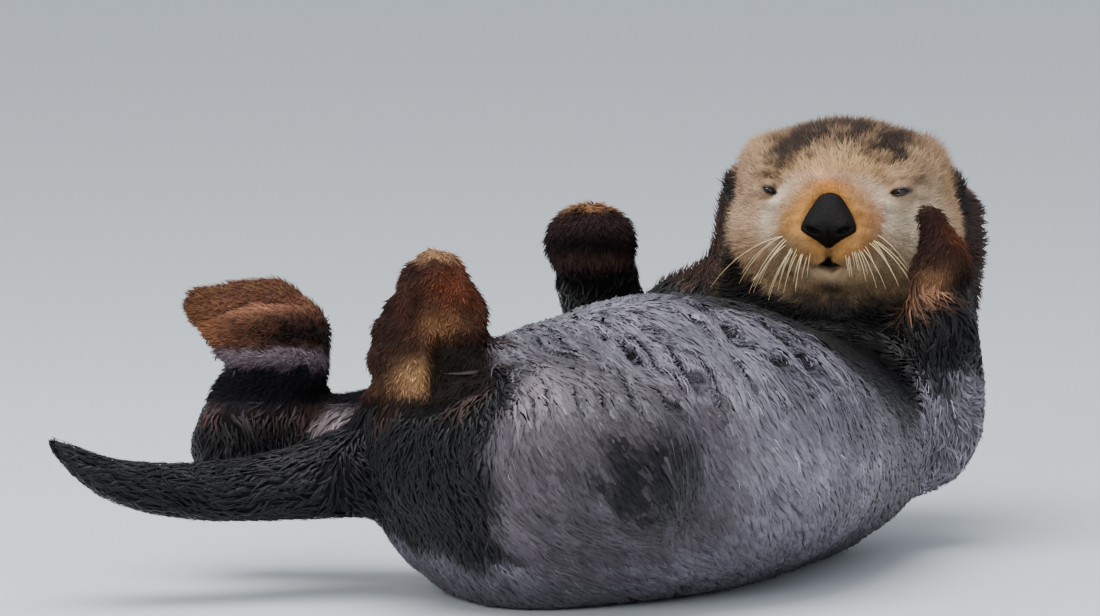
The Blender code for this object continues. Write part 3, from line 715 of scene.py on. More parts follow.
# Painted shade under the chin, near black.
paint(on_head * step(-0.080, -0.098, hz), "#0d0a09")
eye_gap = np.full(len(co), 9.0)  # 1 at the rim of the gap between the lids
for which in (-1, 1):
    u, w = in_slit(which, hx, hz)
    gap = np.hypot(u / (SLITS[which][2] + 0.0022), w / (SLITS[which][3] + 0.0016))
    eye_gap = np.minimum(eye_gap, np.where(hy > 0.01 - EYE_RADIUS, gap, 9))
    paint(0.9 * face * (1 - step(0.6, 1.20, gap)), "#2a1c17")
    paint(0.6 * face * bump(u, w, (0.009, 0.0036), (0.0100, 0.0030), 0.5), "#6b4f40")
    paint(0.5 * face * bump(u, w, (0.001, 0.0062), (0.0110, 0.0022), 0.1), "#8d6c54")
    # Painted shade in the creases at the outer corner of each eye.
    for crease, shade in zip(EYE_CREASES, ("#7a5845", "#8a6753")):
        paint(0.5 * face * bump(which * hx, hz, *crease), shade)
# The mouth: its dark skin, with painted shade in its opening.
paint(1.1 * face * mouth, "#180e0a")
paint(0.8 * face * bump(hx, hz, (0, -0.0690), (0.0120, 0.0050)), "#544c41")
# Painted shade in the groove below the nose.
paint(0.6 * face * bump(hx, hz, (0, -0.046), (0.004, 0.006)), "#3a2a20")
strokes = 0.20 * tufty + 0.12 * rough + 0.10 * step(0.02, 0.04, hz) * tufty
colour *= np.exp(on_head * strokes)[:, None]
paint(behind_face, "#3e2a23")
paint(behind_face * (1 - step(-0.08, -0.03, hx)), "#201714")
paint(spread(is_part("neck"), 3) * (1 - step(-0.11, -0.05, hx)) * step(-0.13, -0.09, hy), "#221916")
# Painted shade low behind the cheeks, under the head.
paint(behind_face * step(-0.060, -0.080, hz), "#100c0b")
# Painted shade in a hollow below each ear.
for ear in ("ear_left", "ear_right"):
    hollow_of_ear = np.array(middle(ear)) + (0, -0.004, -0.010)
    paint(1.3 * np.exp(-((np.linalg.norm(co - hollow_of_ear, axis=1) / 0.012) ** 2)), "#15100e")
# Painted shadow on the throat below the chin, near black.
throat_shadow_middle = np.array(to_world((0.0, -0.020, -0.112)))
paint(2.2 * np.exp(-((np.linalg.norm((co - throat_shadow_middle) / (0.10, 0.07, 0.035), axis=1)) ** 2)), "#050505")

# Far hind foot: rust above, orange at the tip, then grey, then almost black to the ankle.
mottle = ripple(co, 0.006, 14)
paint(0.8 * far_foot * np.clip(mottle, 0, 1) * step(0.005, 0.020, far_z), "#6e5136")
paint(0.9 * far_foot * bump(far_x, far_z, (-0.020, 0.022), (0.034, 0.006), 0.1), "#a06c54")
# Painted shade along the folds of the sole.
creases = np.minimum(*(off_line(far_x, far_z, line) for _, line in FAR_FOOT_FOLDS[:2]))
paint(0.7 * far_foot * faces_front * np.exp(-((creases / 0.0022) ** 2)), "#2a1610")
paint(0.9 * far_foot * bump(far_x, far_z, (-0.060, 0.006), (0.014, 0.010)), "#8a5a3c")
paint(0.6 * far_foot * bump(far_x, far_z, (-0.072, 0.024), (0.016, 0.012)), "#593a22")
# Painted shade, near black, in the cleft across the foot.
cleft = 1.15 * bump(far_x, far_z + 0.003 * mottle, (0.002, 0.003), (0.036, 0.010))
paint(far_foot * np.clip(cleft, 0, 1), "#1a0f0c")
paint(0.9 * far_foot * step(0.014, 0.024, far_x) * step(0.028, 0.010, far_z), "#1c1513")
paint(far_foot * step(-0.003, -0.008, far_z + 0.002 * mottle), "#62555b")
paint(far_foot * step(-0.016, -0.021, far_z + 0.002 * mottle), "#131215")

# Near hind foot: the sole in rust and brown, a tan heel, and deep shade beside it.
colour *= np.exp(near_foot * (0.35 * lumps + 0.25 * mottle))[:, None]
paint(0.8 * near_foot * step(0.042, 0.056, near_z + 0.003 * mottle), "#a98260")
NEAR_SOLE = (
    (0.8, near_x, (0.022, 0.030), (0.018, 0.016), "#64331f"),
    (0.8, near_x, (0.012, 0.002), (0.014, 0.010), "#80583a"),
    (0.9, near_x, (-0.006, -0.034), (0.016, 0.012), "#a67e58"),
    (0.8, near_x, (-0.030, -0.006), (0.012, 0.030), "#281a15"),
)
dabs(near_foot, near_z, NEAR_SOLE)
paint(near_foot * hollow, "#1a1310")
paint(0.9 * near_foot * step(-0.044, -0.052, near_z), "#100d0c")
paint(near_foot * step(0.0, 0.4, normals[:, 1]), "#2b211e")

# Near forepaw: a dark pad, a rust edge and tan hair at the wrist.
paw_x, paw_z = front_of("forepaw_left")
near_paw = spread(is_part("forepaw_left", "forearm_left"), 2)
PAW_PAD = (
    (1.0, paw_x, (-0.006, -0.004), (0.016, 0.016), "#3d2923"),
    (0.9, paw_x, (0.014, 0.006), (0.008, 0.022), "#6d3c27", 0.7),
    (0.9, paw_x, (-0.008, -0.030), (0.018, 0.010), "#a37555", 0.5),
    (0.9, paw_x, (0.018, -0.028), (0.012, 0.012), "#120d0c"),
    (1.2, paw_x, (-0.010, 0.020), (0.012, 0.012), "#3d2924"),
)
dabs(near_paw, paw_z, PAW_PAD)

# Far forepaw: orange crown, purple-brown, painted black shade in its hollow and a brown band at the wrist.
mitt_x, mitt_z = front_of("forepaw_right")
far_paw = spread(is_part("forepaw_right"), 2)
paint(0.9 * far_paw * step(0.022, 0.032, mitt_z + 0.002 * mottle), "#a3744f")
paint(far_paw * (1 - step(0.020, 0.026, mitt_z)), "#362424")
# Painted shade, black, in the paw's hollow.
paint(far_paw * bump(mitt_x, mitt_z, (0.003, 0.003), (0.050, 0.0085)), "#070607")
paint(0.9 * far_paw * bump(mitt_x, mitt_z, (0.006, -0.0095), (0.040, 0.0055)), "#4e3a33")
paint(far_paw * step(-0.012, -0.018, mitt_z), "#120f10")

# Elbow: the grey of the flank comes up over the arm, partly as painted sheen on the wet fur.
arm = spread(is_part("upper_arm_left", "forearm_left"), 3)
elbow = arm * (1 - step(0.118, 0.142, co[:, 2] + 0.008 * rough + 0.006 * tufty))
elbow *= 1 - step(0.105, 0.150, co[:, 1] + 0.006 * rough)
paint(0.85 * elbow, "#77747d")
far_shank = spread(is_part("shank_right", "thigh_right"), 4)
paint(0.8 * far_shank * step(-0.155, -0.140, co[:, 0] + 0.006 * rough), "#857779")


# The lie of the hair: away from the nose on the head, round and back over the trunk, and as
# BODY says elsewhere.
nose_tip = in_head(np.array(middle("nose")))
lie = unit(np.array([BODY[name][1] for name in FLESH], float))[label]
from_nose = unit(head_points - nose_tip) @ HEAD_AXES.T
from_nose[:, 2] -= 0.25 * step(0.0, -0.05, hz)
to_left = np.stack([heading[:, 1], -heading[:, 0], np.zeros(len(co))], axis=1)
angle = (aside / GIRTH)[:, None]
round_trunk = to_left * np.cos(angle) - np.array([0, 0, 1.0]) * np.sin(angle)
way_a = np.full(len(co), 1.0)
way_s = 0.35 + 0.45 * step(0.09, 0.14, np.abs(aside)) + 0.5 * step(0.28, 0.33, along)
for row in PARTINGS:
    t, q, _ = in_parting(row, along, aside)
    near = np.exp(-((q / 0.012) ** 2)) * step(-0.3, 0.0, t) * (1 - step(1.0, 1.3, t))
    down = unit(parting_axes(row)[1])
    way_s = way_s * (1 - near) + down[0] * near
    way_a = way_a * (1 - near) + abs(down[1]) * near
way_a *= np.tanh(aside / 0.012)
over_trunk = heading * way_s[:, None] + round_trunk * way_a[:, None]
lie = lie * (1 - trunk[:, None]) + over_trunk * trunk[:, None]
lie = lie * (1 - on_head[:, None]) + from_nose * on_head[:, None]
tail_root = np.linalg.norm((co - middle("tail_base")) * (1, 0, 1) - (0.065, 0, 0), axis=1)
lie = spread(lie, 10)
lie[:, 2] -= 1.2 * np.exp(-((tail_root / 0.05) ** 2))
swirl = 0.14 + 0.45 * arm + 0.25 * spread(is_part("shank_left", "shank_right"), 4)
for size, seed in ((0.022, 21), (0.045, 25)):
    bends = np.stack([ripple(co, size, seed + k) for k in range(3)], axis=1)
    lie += swirl[:, None] * bends
lie = unit(lie - normals * (lie * normals).sum(1, keepdims=True))


# Undercoat: dense fine wool that shows between the hairs. Matt, and darker than the hair over it, partly
# as painted shade between the hairs.
WOOL_GRAIN = 0.0012  # width of a clump of wool


def hair_look(tree, shader, grain, lightest, strength, depth):
    """Markings that go darker and lighter with a grain, which also raises the surface."""
    tinted = add_node(tree, "ShaderNodeAttribute", attribute_name="markings")
    value = grain.outputs["Fac"]
    shade = add_node(tree, "ShaderNodeMapRange", {"Value": value}, To_Min=0.6, To_Max=lightest)
    both = {"Color1": tinted.outputs["Color"], "Color2": shade.outputs["Result"]}
    tone = add_node(tree, "ShaderNodeMixRGB", both, blend_type="MULTIPLY", Fac=1.0)
    tree.links.new(tone.outputs["Color"], shader.inputs["Base Color"])
    ridges = add_node(tree, "ShaderNodeBump", {"Height": value}, Strength=strength, Distance=depth)
    tree.links.new(ridges.outputs["Normal"], shader.inputs["Normal"])


undercoat, tree, shader = new_material("dense_underfur", Roughness=0.85, Specular_IOR_Level=0.15)
place = {"Vector": add_node(tree, "ShaderNodeTexCoord").outputs["Object"]}
wool = add_node(tree, "ShaderNodeTexNoise", place, scale=1 / WOOL_GRAIN, detail=3.0)
hair_look(tree, shader, wool, lightest=1.05, strength=0.6, depth=0.0008)
skin.data.materials.clear()
skin.data.materials.append(undercoat)


def store_colour(mesh, values):
    layer = mesh.color_attributes.new(name="markings", type="FLOAT_COLOR", domain="POINT")
    rgba = np.ones((len(values), 4), np.float32)
    rgba[:, :3] = values
    layer.data.foreach_set("color", rgba.ravel())


UNDERCOAT_SHADE = 0.8  # brightness of the undercoat, over that of the hair above it; partly painted shade between the hairs
store_colour(skin.data, colour * UNDERCOAT_SHADE)
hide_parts(*FLESH)
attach(skin, "root")


# ------------------------------------------------------------------ the face coat
# Dry, dense and very fine hair, combed back from the nose. It is shortest on the muzzle and
# round the eyes, and stands up into soft tufts on the brow, crown and temples.

skin.data.calc_loop_triangles()
corners = read(skin.data.loop_triangles, "vertices", 3, np.int32)
loops = read(skin.data.loop_triangles, "loops", 3, np.int32)
corner_map = read(skin.data.uv_layers["Unwrap"].data, "uv", 2)[loops]
spans = co[corners[:, 1:]] - co[corners[:, :1]]
areas = 0.5 * np.linalg.norm(np.cross(spans[:, 0], spans[:, 1]), axis=1)
skin_tree = BVHTree.FromPolygons(co.tolist(), corners.tolist())
TUFT_PATCH = 0.003  # size of a tuft on its map
CLEAR_OF_FLOOR = 0.0003  # the coat of the back is pressed flat at this height


def rooted(picks, bary, seed):
    """Roots on these triangles of the skin."""
    at = (corner_map[picks] * bary[:, :, None]).sum(1)
    return {"points": corners[picks], "bary": bary, "map": at, "seed": seed}


def scatter(count, weight, seed, spacing=0.0):
    """Roots on the skin, denser where the weight is high, none nearer than the spacing."""
    rng = np.random.default_rng(seed)
    share = areas * weight[corners].mean(1)
    picks = np.searchsorted(np.cumsum(share) / share.sum(), rng.random(count))
    roots = rooted(picks, rng.dirichlet((1, 1, 1), count), seed)
    if not spacing:
        return roots
    places = on_skin(roots, co)
    cells, kept = {}, []
    for k, place in enumerate(places):
        cell = tuple(int(v // spacing) for v in place)
        near = [
            q
            for dx in (-1, 0, 1)
            for dy in (-1, 0, 1)
            for dz in (-1, 0, 1)
            for q in cells.get((cell[0] + dx, cell[1] + dy, cell[2] + dz), ())
        ]
        if all(np.dot(place - q, place - q) > spacing**2 for q in near):
            cells.setdefault(cell, []).append(place)
            kept.append(k)
    return {key: value if key == "seed" else value[kept] for key, value in roots.items()}


def on_skin(roots, values):
    """A value of the skin's points, read at the roots."""
    picked = values[roots["points"]]
    bary = roots["bary"]
    if picked.ndim == 3:
        bary = bary[:, :, None]
    return (picked * bary).sum(1)


def gathered(places, size):
    """Each hair's way to the middle of its tuft, with tufts about this far apart."""
    cell = np.floor(places / size + 0.35 * np.sin(places[:, [1, 2, 0]] * 2.3 / size))
    _, group = np.unique(cell, axis=0, return_inverse=True)
    group = group.ravel()
    count = np.bincount(group)[:, None]
    middles = np.stack([np.bincount(group, places[:, k]) for k in range(3)], axis=1) / count
    return middles[group] - places


def grow(
    name, material, roots, length, width, tint, spread_tint, sleek, lift=(0.0, 0.0), flat=0.4,
    curl=0.3, swing=0.25, rings=3, gather=None, direction=None, sink=0.0012, full=0.0, shade=None,
    hug=None,
):
    """One mesh of closed tapering hairs or locks.

    tint: brightness at root and tip. spread_tint: how much it varies from hair to hair. sleek:
    how far the shading follows the body instead of each hair. lift: angles off the skin at root
    and tip. flat: thickness over width. curl: sideways bend in radians. swing: random turn of
    each. gather: (size of tufts, share that the tips close in). full: how much wider a lock is
    along its middle. shade: a colour that the hair is at least as light as. hug: height over
    the skin of hair that lies along it.
    """
    rng = np.random.default_rng(roots["seed"] + 1000)
    start = on_skin(roots, co)
    up = unit(on_skin(roots, normals))
    way = on_skin(roots, lie) if direction is None else direction
    way = unit(way - up * (way * up).sum(1, keepdims=True))
    across = np.cross(up, way)
    n = len(start)
    turn = rng.normal(0, swing, n)[:, None]
    c, s = np.cos(turn), np.sin(turn)
    way, across = way * c + across * s, across * c - way * s
    # No two hairs are quite as long, as wide, as bent or as lifted.
    length = np.broadcast_to(length, n) * rng.uniform(0.72, 1.2, n)
    width = np.broadcast_to(width, n) * rng.uniform(0.75, 1.25, n)
    bend = rng.normal(0, curl, n)[:, None]
    raise_by = rng.normal(1, 0.18, n)[:, None]
    low, high = (np.broadcast_to(a, n)[:, None] * raise_by for a in lift)
    closing = np.zeros((n, 3))
    if gather:
        inward = gathered(start, gather[0])
        closing = (inward - up * (inward * up).sum(1, keepdims=True)) * gather[1]
    centre = start - up * sink
    stations, ups = [], []
    for ring in range(rings + 1):
        t = ring / rings
        angle = low * (1 - t) + high * t
        heading = way * np.cos(bend * t) + across * np.sin(bend * t)
        ahead = heading * np.cos(angle) + up * np.sin(angle)
        if ring:
            centre = centre + ahead * (length / rings)[:, None]
        if ring and hug is not None:
            nearest = [skin_tree.find_nearest(Vector(place)) for place in centre]
            up = unit(normals[corners[[found[2] for found in nearest]]].mean(1))
            height = hug * raise_by * np.interp(t, (0, 0.3, 1), (-0.5, 1.0, 0.4))
            centre = np.array([tuple(found[0]) for found in nearest]) + up * height
            way = unit(way - up * (way * up).sum(1, keepdims=True))
            across = np.cross(up, way)
        sideways = np.cross(up, heading)
        over = np.cross(ahead, sideways)
        taper = (1 - t) ** 0.7 * (1 + full * math.sin(math.pi * min(1, 1.6 * t)))
        half = (0.5 * width * taper)[:, None]
        middle_line = centre + closing * t**1.4
        ups += [up] * (3 if ring < rings else 1)
        if ring < rings:
            stations += [
                middle_line - sideways * half,
                middle_line + sideways * half,
                middle_line + over * half * 2 * flat,
            ]
        else:
            stations.append(middle_line)
    verts = np.stack(stations, axis=1)
    verts[:, :, 2] = np.maximum(verts[:, :, 2], CLEAR_OF_FLOOR)
    per = verts.shape[1]
    faces = []
    for ring in range(rings - 1):
        base = 3 * ring
        for i, j in ((0, 1), (1, 2), (2, 0)):
            faces.append((base + i, base + j, base + 3 + j))
            faces.append((base + i, base + 3 + j, base + 3 + i))
    last = 3 * (rings - 1)
    faces += [(last, last + 1, per - 1), (last + 1, last + 2, per - 1), (last + 2, last, per - 1)]
    faces.append((2, 1, 0))
    faces = (np.arange(n)[:, None, None] * per + np.array(faces)).reshape(-1, 3)
    mesh = bpy.data.meshes.new(name)
    mesh.vertices.add(n * per)
    mesh.loops.add(faces.size)
    mesh.polygons.add(len(faces))
    mesh.vertices.foreach_set("co", verts.astype(np.float32).ravel())
    mesh.loops.foreach_set("vertex_index", faces.astype(np.int32).ravel())
    mesh.polygons.foreach_set("loop_start", np.arange(0, faces.size, 3, dtype=np.int32))
    mesh.update(calc_edges=True)
    mesh.shade_smooth()
    steps = np.array([k // 3 / rings for k in range(per - 1)] + [1.0])
    sides = np.array([(0.0, 1.0, 0.5)[k % 3] for k in range(per - 1)] + [0.5])
    patch = roots["map"][:, None, :] + TUFT_PATCH * np.stack([steps - 0.5, sides - 0.5], axis=1)
    strand = np.stack(
        [
            rng.uniform(0, 50, n)[:, None] + 1000 * width[:, None] * sides,
            rng.uniform(0, 50, n)[:, None] + 1000 * length[:, None] * steps,
        ],
        axis=2,
    )
    for map_name, values in (("OFBake", patch), ("Strand", strand)):
        layer = mesh.uv_layers.new(name=map_name)
        layer.data.foreach_set("uv", values.reshape(-1, 2)[faces.ravel()].astype(np.float32).ravel())
    bright = (tint[0] + (tint[1] - tint[0]) * steps) * np.exp(rng.normal(0, spread_tint, n))[:, None]
    own = on_skin(roots, colour)
    if shade is not None:
        own = np.maximum(own, linear(shade))
    store_colour(mesh, (own[:, None, :] * bright[:, :, None]).reshape(-1, 3))
    if sleek:
        smooth = sleek * np.stack(ups, axis=1).reshape(-1, 3) + (1 - sleek) * normals_of(mesh)
        mesh.normals_split_custom_set_from_vertices(unit(smooth).tolist())
    mesh.materials.append(material)
    piece = new_object(name, mesh)
    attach(piece, "root")
    return piece


STREAK_STRETCH = 0.06  # changes per millimetre along a lock


def hair_material(name, streak, depth, **surface):
    """Hair in the coat's markings, with fine streaks along each lock.

    streak: width of one in millimetres. depth: height of its ridges in metres.
    """
    material, tree, shader = new_material(name, **surface)
    strand = {"Vector": add_node(tree, "ShaderNodeUVMap", uv_map="Strand").outputs["UV"]}
    drawn_out = add_node(tree, "ShaderNodeMapping", strand, Scale=(1 / streak, STREAK_STRETCH, 1))
    place = {"Vector": drawn_out.outputs["Vector"]}
    streaks = add_node(tree, "ShaderNodeTexNoise", place, scale=1.0, detail=2.0)
    hair_look(tree, shader, streaks, lightest=1.35, strength=0.7, depth=depth)
    return material


# Dry hair: soft to the eye and nearly matt, paler towards the tips.
dry_hair = hair_material("dry_guard_hair", 0.4, 0.0002, Roughness=0.62)

nose_gap = np.hypot(hx / 0.0190, (hz + 0.0235) / 0.0205)
bare = 1 - step(0.95, 1.2, eye_gap)
bare = np.maximum(bare, 1 - step(0.85, 1.05, np.where(hy > 0.035, nose_gap, 10)))
bare = np.maximum(bare, face * step(0.35, 0.65, bump(hx, hz, (0, -0.057), (0.015, 0.009))))
close = np.minimum(np.hypot(side - EYE_OUT, hz), np.hypot(hx, hz - MUZZLE_HEIGHT) - 0.022)
hair_length = 0.0038 + 0.0085 * step(0.003, 0.045, close)
hair_length += 0.0025 * on_head * step(0.02, 0.05, hz)
hair_length += 0.0085 * temples / max(temples.max(), 0.01)
hair_lift = 0.50 + 0.30 * step(0.02, 0.045, hz) + 0.30 * temples
hair_lift -= 0.20 * bump(side, hz, (EYE_OUT, 0), (0.012, 0.010))
furred_face = on_head * (1 - np.clip(behind_face, 0, 1)) * (1 - bare)
hind_face = 1 - step(-0.012, 0.002, hy)
above, below = step(-0.005, 0.020, hz), step(0.020, -0.005, hz)
FACE_COATS = (
    ("muzzle_coat", 19500, 1 - hind_face, 0.00050, (0.0034, 0.36), (0.58, 1.20), 0.16, 31),
    ("cheek_coat", 17000, hind_face * below, 0.0006, (0.0050, 0.50), (0.54, 1.22), 0.15, 32),
    ("crown_coat", 19000, hind_face * above, 0.0006, (0.0062, 0.62), (0.44, 1.14), 0.20, 33),
)
for name, count, region, wide, gather, tint, vary, seed in FACE_COATS:
    roots = scatter(count, furred_face * region, seed)
    lifts = on_skin(roots, hair_lift)
    piece = grow(
        name, dry_hair, roots, on_skin(roots, hair_length), wide, tint, vary, sleek=0.35,
        lift=(lifts + 0.25, lifts - 0.20), flat=0.6, gather=gather, rings=2,
    )


# ------------------------------------------------------------------ ruff, nape and shoulders
# Longer damp guard hair behind the cheeks, stuck together into dark points that break the
# outline of the neck and of the far shoulder.

# Damp hair: dark, with a dull sheen on the points.
damp_hair = hair_material("damp_guard_hair", 0.5, 0.0003, Roughness=0.5, Specular_IOR_Level=0.12)
ruff = spread(np.clip(is_part("neck", "upper_arm_right") + behind_face, 0, 1), 3)
roots = scatter(13500, ruff, 41, spacing=0.0022)
piece = grow(
    "ruff", damp_hair, roots, 0.0105, 0.0018, (0.55, 1.45), 0.25, sleek=0.3, lift=(0.75, 0.45),
    flat=0.35, gather=(0.0075, 0.75), full=0.2,
)


# ------------------------------------------------------------------ the wet trunk
# Soaked guard hair on belly, flanks and thighs, drawn by the water into flat overlapping locks
# with a wet gloss. The sheet parts in rows, and short teeth of hair hang over each parting.

# Soaked hair: smooth, with long soft highlights along the locks.
wet_hair = hair_material("wet_guard_hair", 0.8, 0.0005, Roughness=0.36, Specular_IOR_Level=0.22)
on_floor = 1 - step(0.004, 0.012, co[:, 2])
over_belly = spread(is_part("belly", "chest"), 3)
closed_fur = trunk * (1 - 0.8 * on_floor) * (1 - opened)
near_partings = np.clip(spread(opened, 12) / 0.25, 0, 1)


def room_ahead(roots, longest):
    """How far each lock can lie along the trunk before it would cover a parting."""
    place, way = on_skin(roots, co), unit(on_skin(roots, lie))
    room = np.full(len(place), longest)
    for share in (1.2, 1.0, 0.8, 0.6, 0.4, 0.2):
        ahead_s, ahead_a, _ = on_trunk(place + way * longest * share)
        blocked = opened_by_partings(ahead_s, ahead_a)[0] > 0.3
        room[blocked] = longest * max(share - 0.2, 0.12)
    return room


over_flank = np.clip(trunk - over_belly, 0, 1) * (1 - near_partings)
over_belly *= 1 - near_partings
for name, count, weight, spacing, long, wide, gather, rings, seed in (
    ("belly_locks", 10000, over_belly, 0.0024, 0.030, 0.0044, (0.0110, 0.50), 3, 51),
    ("flank_locks", 14500, over_flank, 0.0024, 0.030, 0.0042, (0.0110, 0.50), 3, 52),
    ("parted_locks", 16000, near_partings, 0.0015, 0.013, 0.0024, (0.0040, 0.30), 2, 57),
):
    roots = scatter(count, closed_fur * weight, seed, spacing=spacing)
    length = np.minimum(long, room_ahead(roots, long))
    piece = grow(
        name, wet_hair, roots, length, wide, (0.82, 1.12), 0.13, sleek=0.55, flat=0.10, curl=0.10,
        swing=0.05, gather=gather, rings=rings, full=0.35, sink=0.0010, hug=0.0014,
    )
roots = scatter(6500, trunk * (1 - 0.8 * on_floor) * (1 - 0.35 * near_partings), 53)
piece = grow(
    "trunk_strands", wet_hair, roots, 0.016, 0.0008, (0.9, 1.3), 0.42, sleek=0.4, curl=0.2,
    swing=0.12, sink=0.0002, hug=0.0022,
)

# The fringe: a row of teeth along the lip of each parting, each a little way over it.
TOOTH_SPACING = 0.0036
MISSED = 0.02  # a place on the trunk this far from the skin's points isn't on the skin
FRINGE_END = -0.012  # the teeth stop this far short of the black of the neck


def on_trunk_at(s, a):
    """The triangle and place of the skin at this distance along the trunk and across it."""
    k = int(np.clip(np.searchsorted(spine_run, s) - 1, 0, len(spine_legs) - 1))
    ahead = (spine[k + 1] - spine[k]) / spine_legs[k]
    centre = (*(spine[k] + ahead * (s - spine_run[k])), SPINE_HEIGHT)
    out = (ahead[1] * math.sin(a / GIRTH), -ahead[0] * math.sin(a / GIRTH), math.cos(a / GIRTH))
    place, _, triangle, _ = skin_tree.ray_cast(Vector(centre), Vector(out))
    return triangle, np.array(place)


random = np.random.default_rng(54)
picks, weights, ways, lengths = [], [], [], []
for row in PARTINGS:
    start, chord, size, to_lip = parting_axes(row)
    for k in range(int(size / TOOTH_SPACING)):
        t = (k + random.uniform(0.25, 0.75)) * TOOTH_SPACING / size
        off_chord = 4 * PARTING_BOW * t * (1 - t) - random.uniform(0.0006, 0.0016)
        s, a = start + chord * t + to_lip * off_chord
        triangle, place = on_trunk_at(s, a)
        if triangle is None:
            continue
        three = co[corners[triangle]]
        point = corners[triangle][0]
        if np.linalg.norm(three - place, axis=1).min() > MISSED or past_edge[point] > FRINGE_END:
            continue
        sizes = np.linalg.norm(np.cross(three[[1, 2, 0]] - place, three[[2, 0, 1]] - place), axis=1)
        picks.append(triangle)
        weights.append(sizes / sizes.sum())
        down = -to_lip + (0, 0.7 * np.sign(row[1])) + random.normal(0, 0.06, 2)
        ways.append(heading[point] * down[0] + round_trunk[point] * down[1])
        width = row[4] * math.sin(math.pi * min(t, 0.99) ** 1.15) ** 0.7
        lengths.append((0.0045 + 1.35 * width) * random.uniform(0.85, 1.15))
roots = rooted(np.array(picks), np.array(weights), 55)
for name, wide, swing, seed in (
    ("fringe_teeth", 0.0019, 0.05, 55),
    ("fringe_strands", 0.0008, 0.20, 56),
):
    roots["seed"] = seed
    piece = grow(
        name, wet_hair, roots, np.array(lengths), wide, (0.70, 1.20), 0.14, sleek=0.3, curl=0.22,
        swing=swing, rings=4, direction=np.array(ways), full=0.4, sink=0.0, hug=0.0009,
        shade="#726d76",
    )


# ------------------------------------------------------------------ arms, shanks and tail
# Dark soaked hair in narrow curved locks that close into points and lie down on the limb.

# The dark coat also takes in what no other piece of the coat covers.
DARK_PARTS = ("upper_arm_left", "forearm_left", "forearm_right", "shank_left", "shank_right")
DARK_PARTS += ("thigh_right", "tail_base", "tail_tip")
SHORT_PARTS = ("hind_foot_right", "forepaw_left", "forepaw_right", "ear_left", "ear_right")
dark_parts = spread(is_part(*DARK_PARTS), 3)
claimed = on_head + ruff + trunk + dark_parts + near_foot + is_part(*SHORT_PARTS)
dark_parts = np.clip(dark_parts + np.clip(2 * (0.8 - claimed), 0, 1), 0, 1)
for name, count, spacing, long, wide, high, tint, seed in (
    ("limb_locks", 12400, 0.0024, 0.0230, 0.0030, 0.0016, (0.7, 1.25), 61),
    ("limb_strands", 4000, 0.0, 0.0200, 0.0008, 0.0024, (1.0, 2.8), 62),
):
    roots = scatter(count, dark_parts * (1 - 0.7 * on_floor), seed, spacing=spacing)
    piece = grow(
        name, wet_hair, roots, long, wide, tint, 0.3, sleek=0.4, flat=0.14, curl=0.45, swing=0.10,
        gather=(0.0130, 0.60), full=0.4, hug=high,
    )


# ------------------------------------------------------------------ feet, paws and ears
# Very short fur, velvety on the far foot and paws, stuck into small wet points on the near sole, whose
# pale tips are painted glints of water.

# Short damp fur: a dull nap that hardly shines.
short_fur = hair_material("short_damp_fur", 0.4, 0.0002, Roughness=0.5, Specular_IOR_Level=0.08)
others = spread(is_part(*SHORT_PARTS), 2)
SOLE_LIFT = (0.70, 0.30)  # of the hairs of the near sole, at root and tip
# The near sole's tufts grow much lighter to the tips: painted glints on the wet points.
for name, count, weight, seed, spacing, long, wide, lift, gather, tint in (
    ("near_foot_tufts", 9000, near_foot, 71, 0.0015, 0.0070, 0.0019, SOLE_LIFT, (0.006, 0.7), (0.25, 1.9)),
    ("near_foot_fur", 4600, near_foot, 73, 0.0, 0.0065, 0.0008, SOLE_LIFT, None, (0.5, 2.0)),
    ("short_fur", 16500, others, 72, 0.0, 0.0075, 0.0012, (0.80, 0.42), (0.0050, 0.6), (0.35, 1.45)),
):
    roots = scatter(count, weight, seed, spacing=spacing)
    piece = grow(
        name, short_fur, roots, long, wide, tint, 0.28, sleek=0.3, lift=lift, rings=2,
        gather=gather,
    )


# ------------------------------------------------------------------ eyes
# Dark wet eyeballs, almost black, with brown flecks that show only close up, and a hairless dark margin
# round each slit.


def finish_piece(piece, name, material, nodes=()):
    """Names a modelled piece, puts its place into its mesh and ties it to the frame."""
    select_only(piece)
    bpy.ops.object.transform_apply(location=True, rotation=True, scale=True)
    piece.name = name
    piece.data.materials.clear()
    piece.data.materials.append(material)
    piece.data.shade_smooth()
    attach(piece, "root")
    if nodes:
        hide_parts(*nodes)


def two_tone(name, colours, kind, settings, **surface):
    """A material that runs between two colours with a texture; also returns what raises it."""
    material, tree, shader = new_material(name, **surface)
    place = {"Vector": add_node(tree, "ShaderNodeTexCoord").outputs["Object"]}
    value = add_node(tree, kind, place, **settings).outputs[0]
    tones = add_node(tree, "ShaderNodeValToRGB", {"Fac": value})
    for element, tone in zip(tones.color_ramp.elements, colours):
        element.color = (*linear(tone), 1)
    tree.links.new(tones.outputs["Color"], shader.inputs["Base Color"])
    return material, tree, shader, value


def new_curve(name, thickness, resolution):
    curve = bpy.data.curves.new(name, "CURVE")
    curve.dimensions = "3D"
    curve.bevel_depth = thickness
    curve.bevel_resolution = resolution
    return curve


def as_mesh(name, curve):
    """A new object with the mesh of a finished curve."""
    select_only(new_object(name, curve))
    bpy.ops.object.convert(target="MESH")
    return bpy.context.object


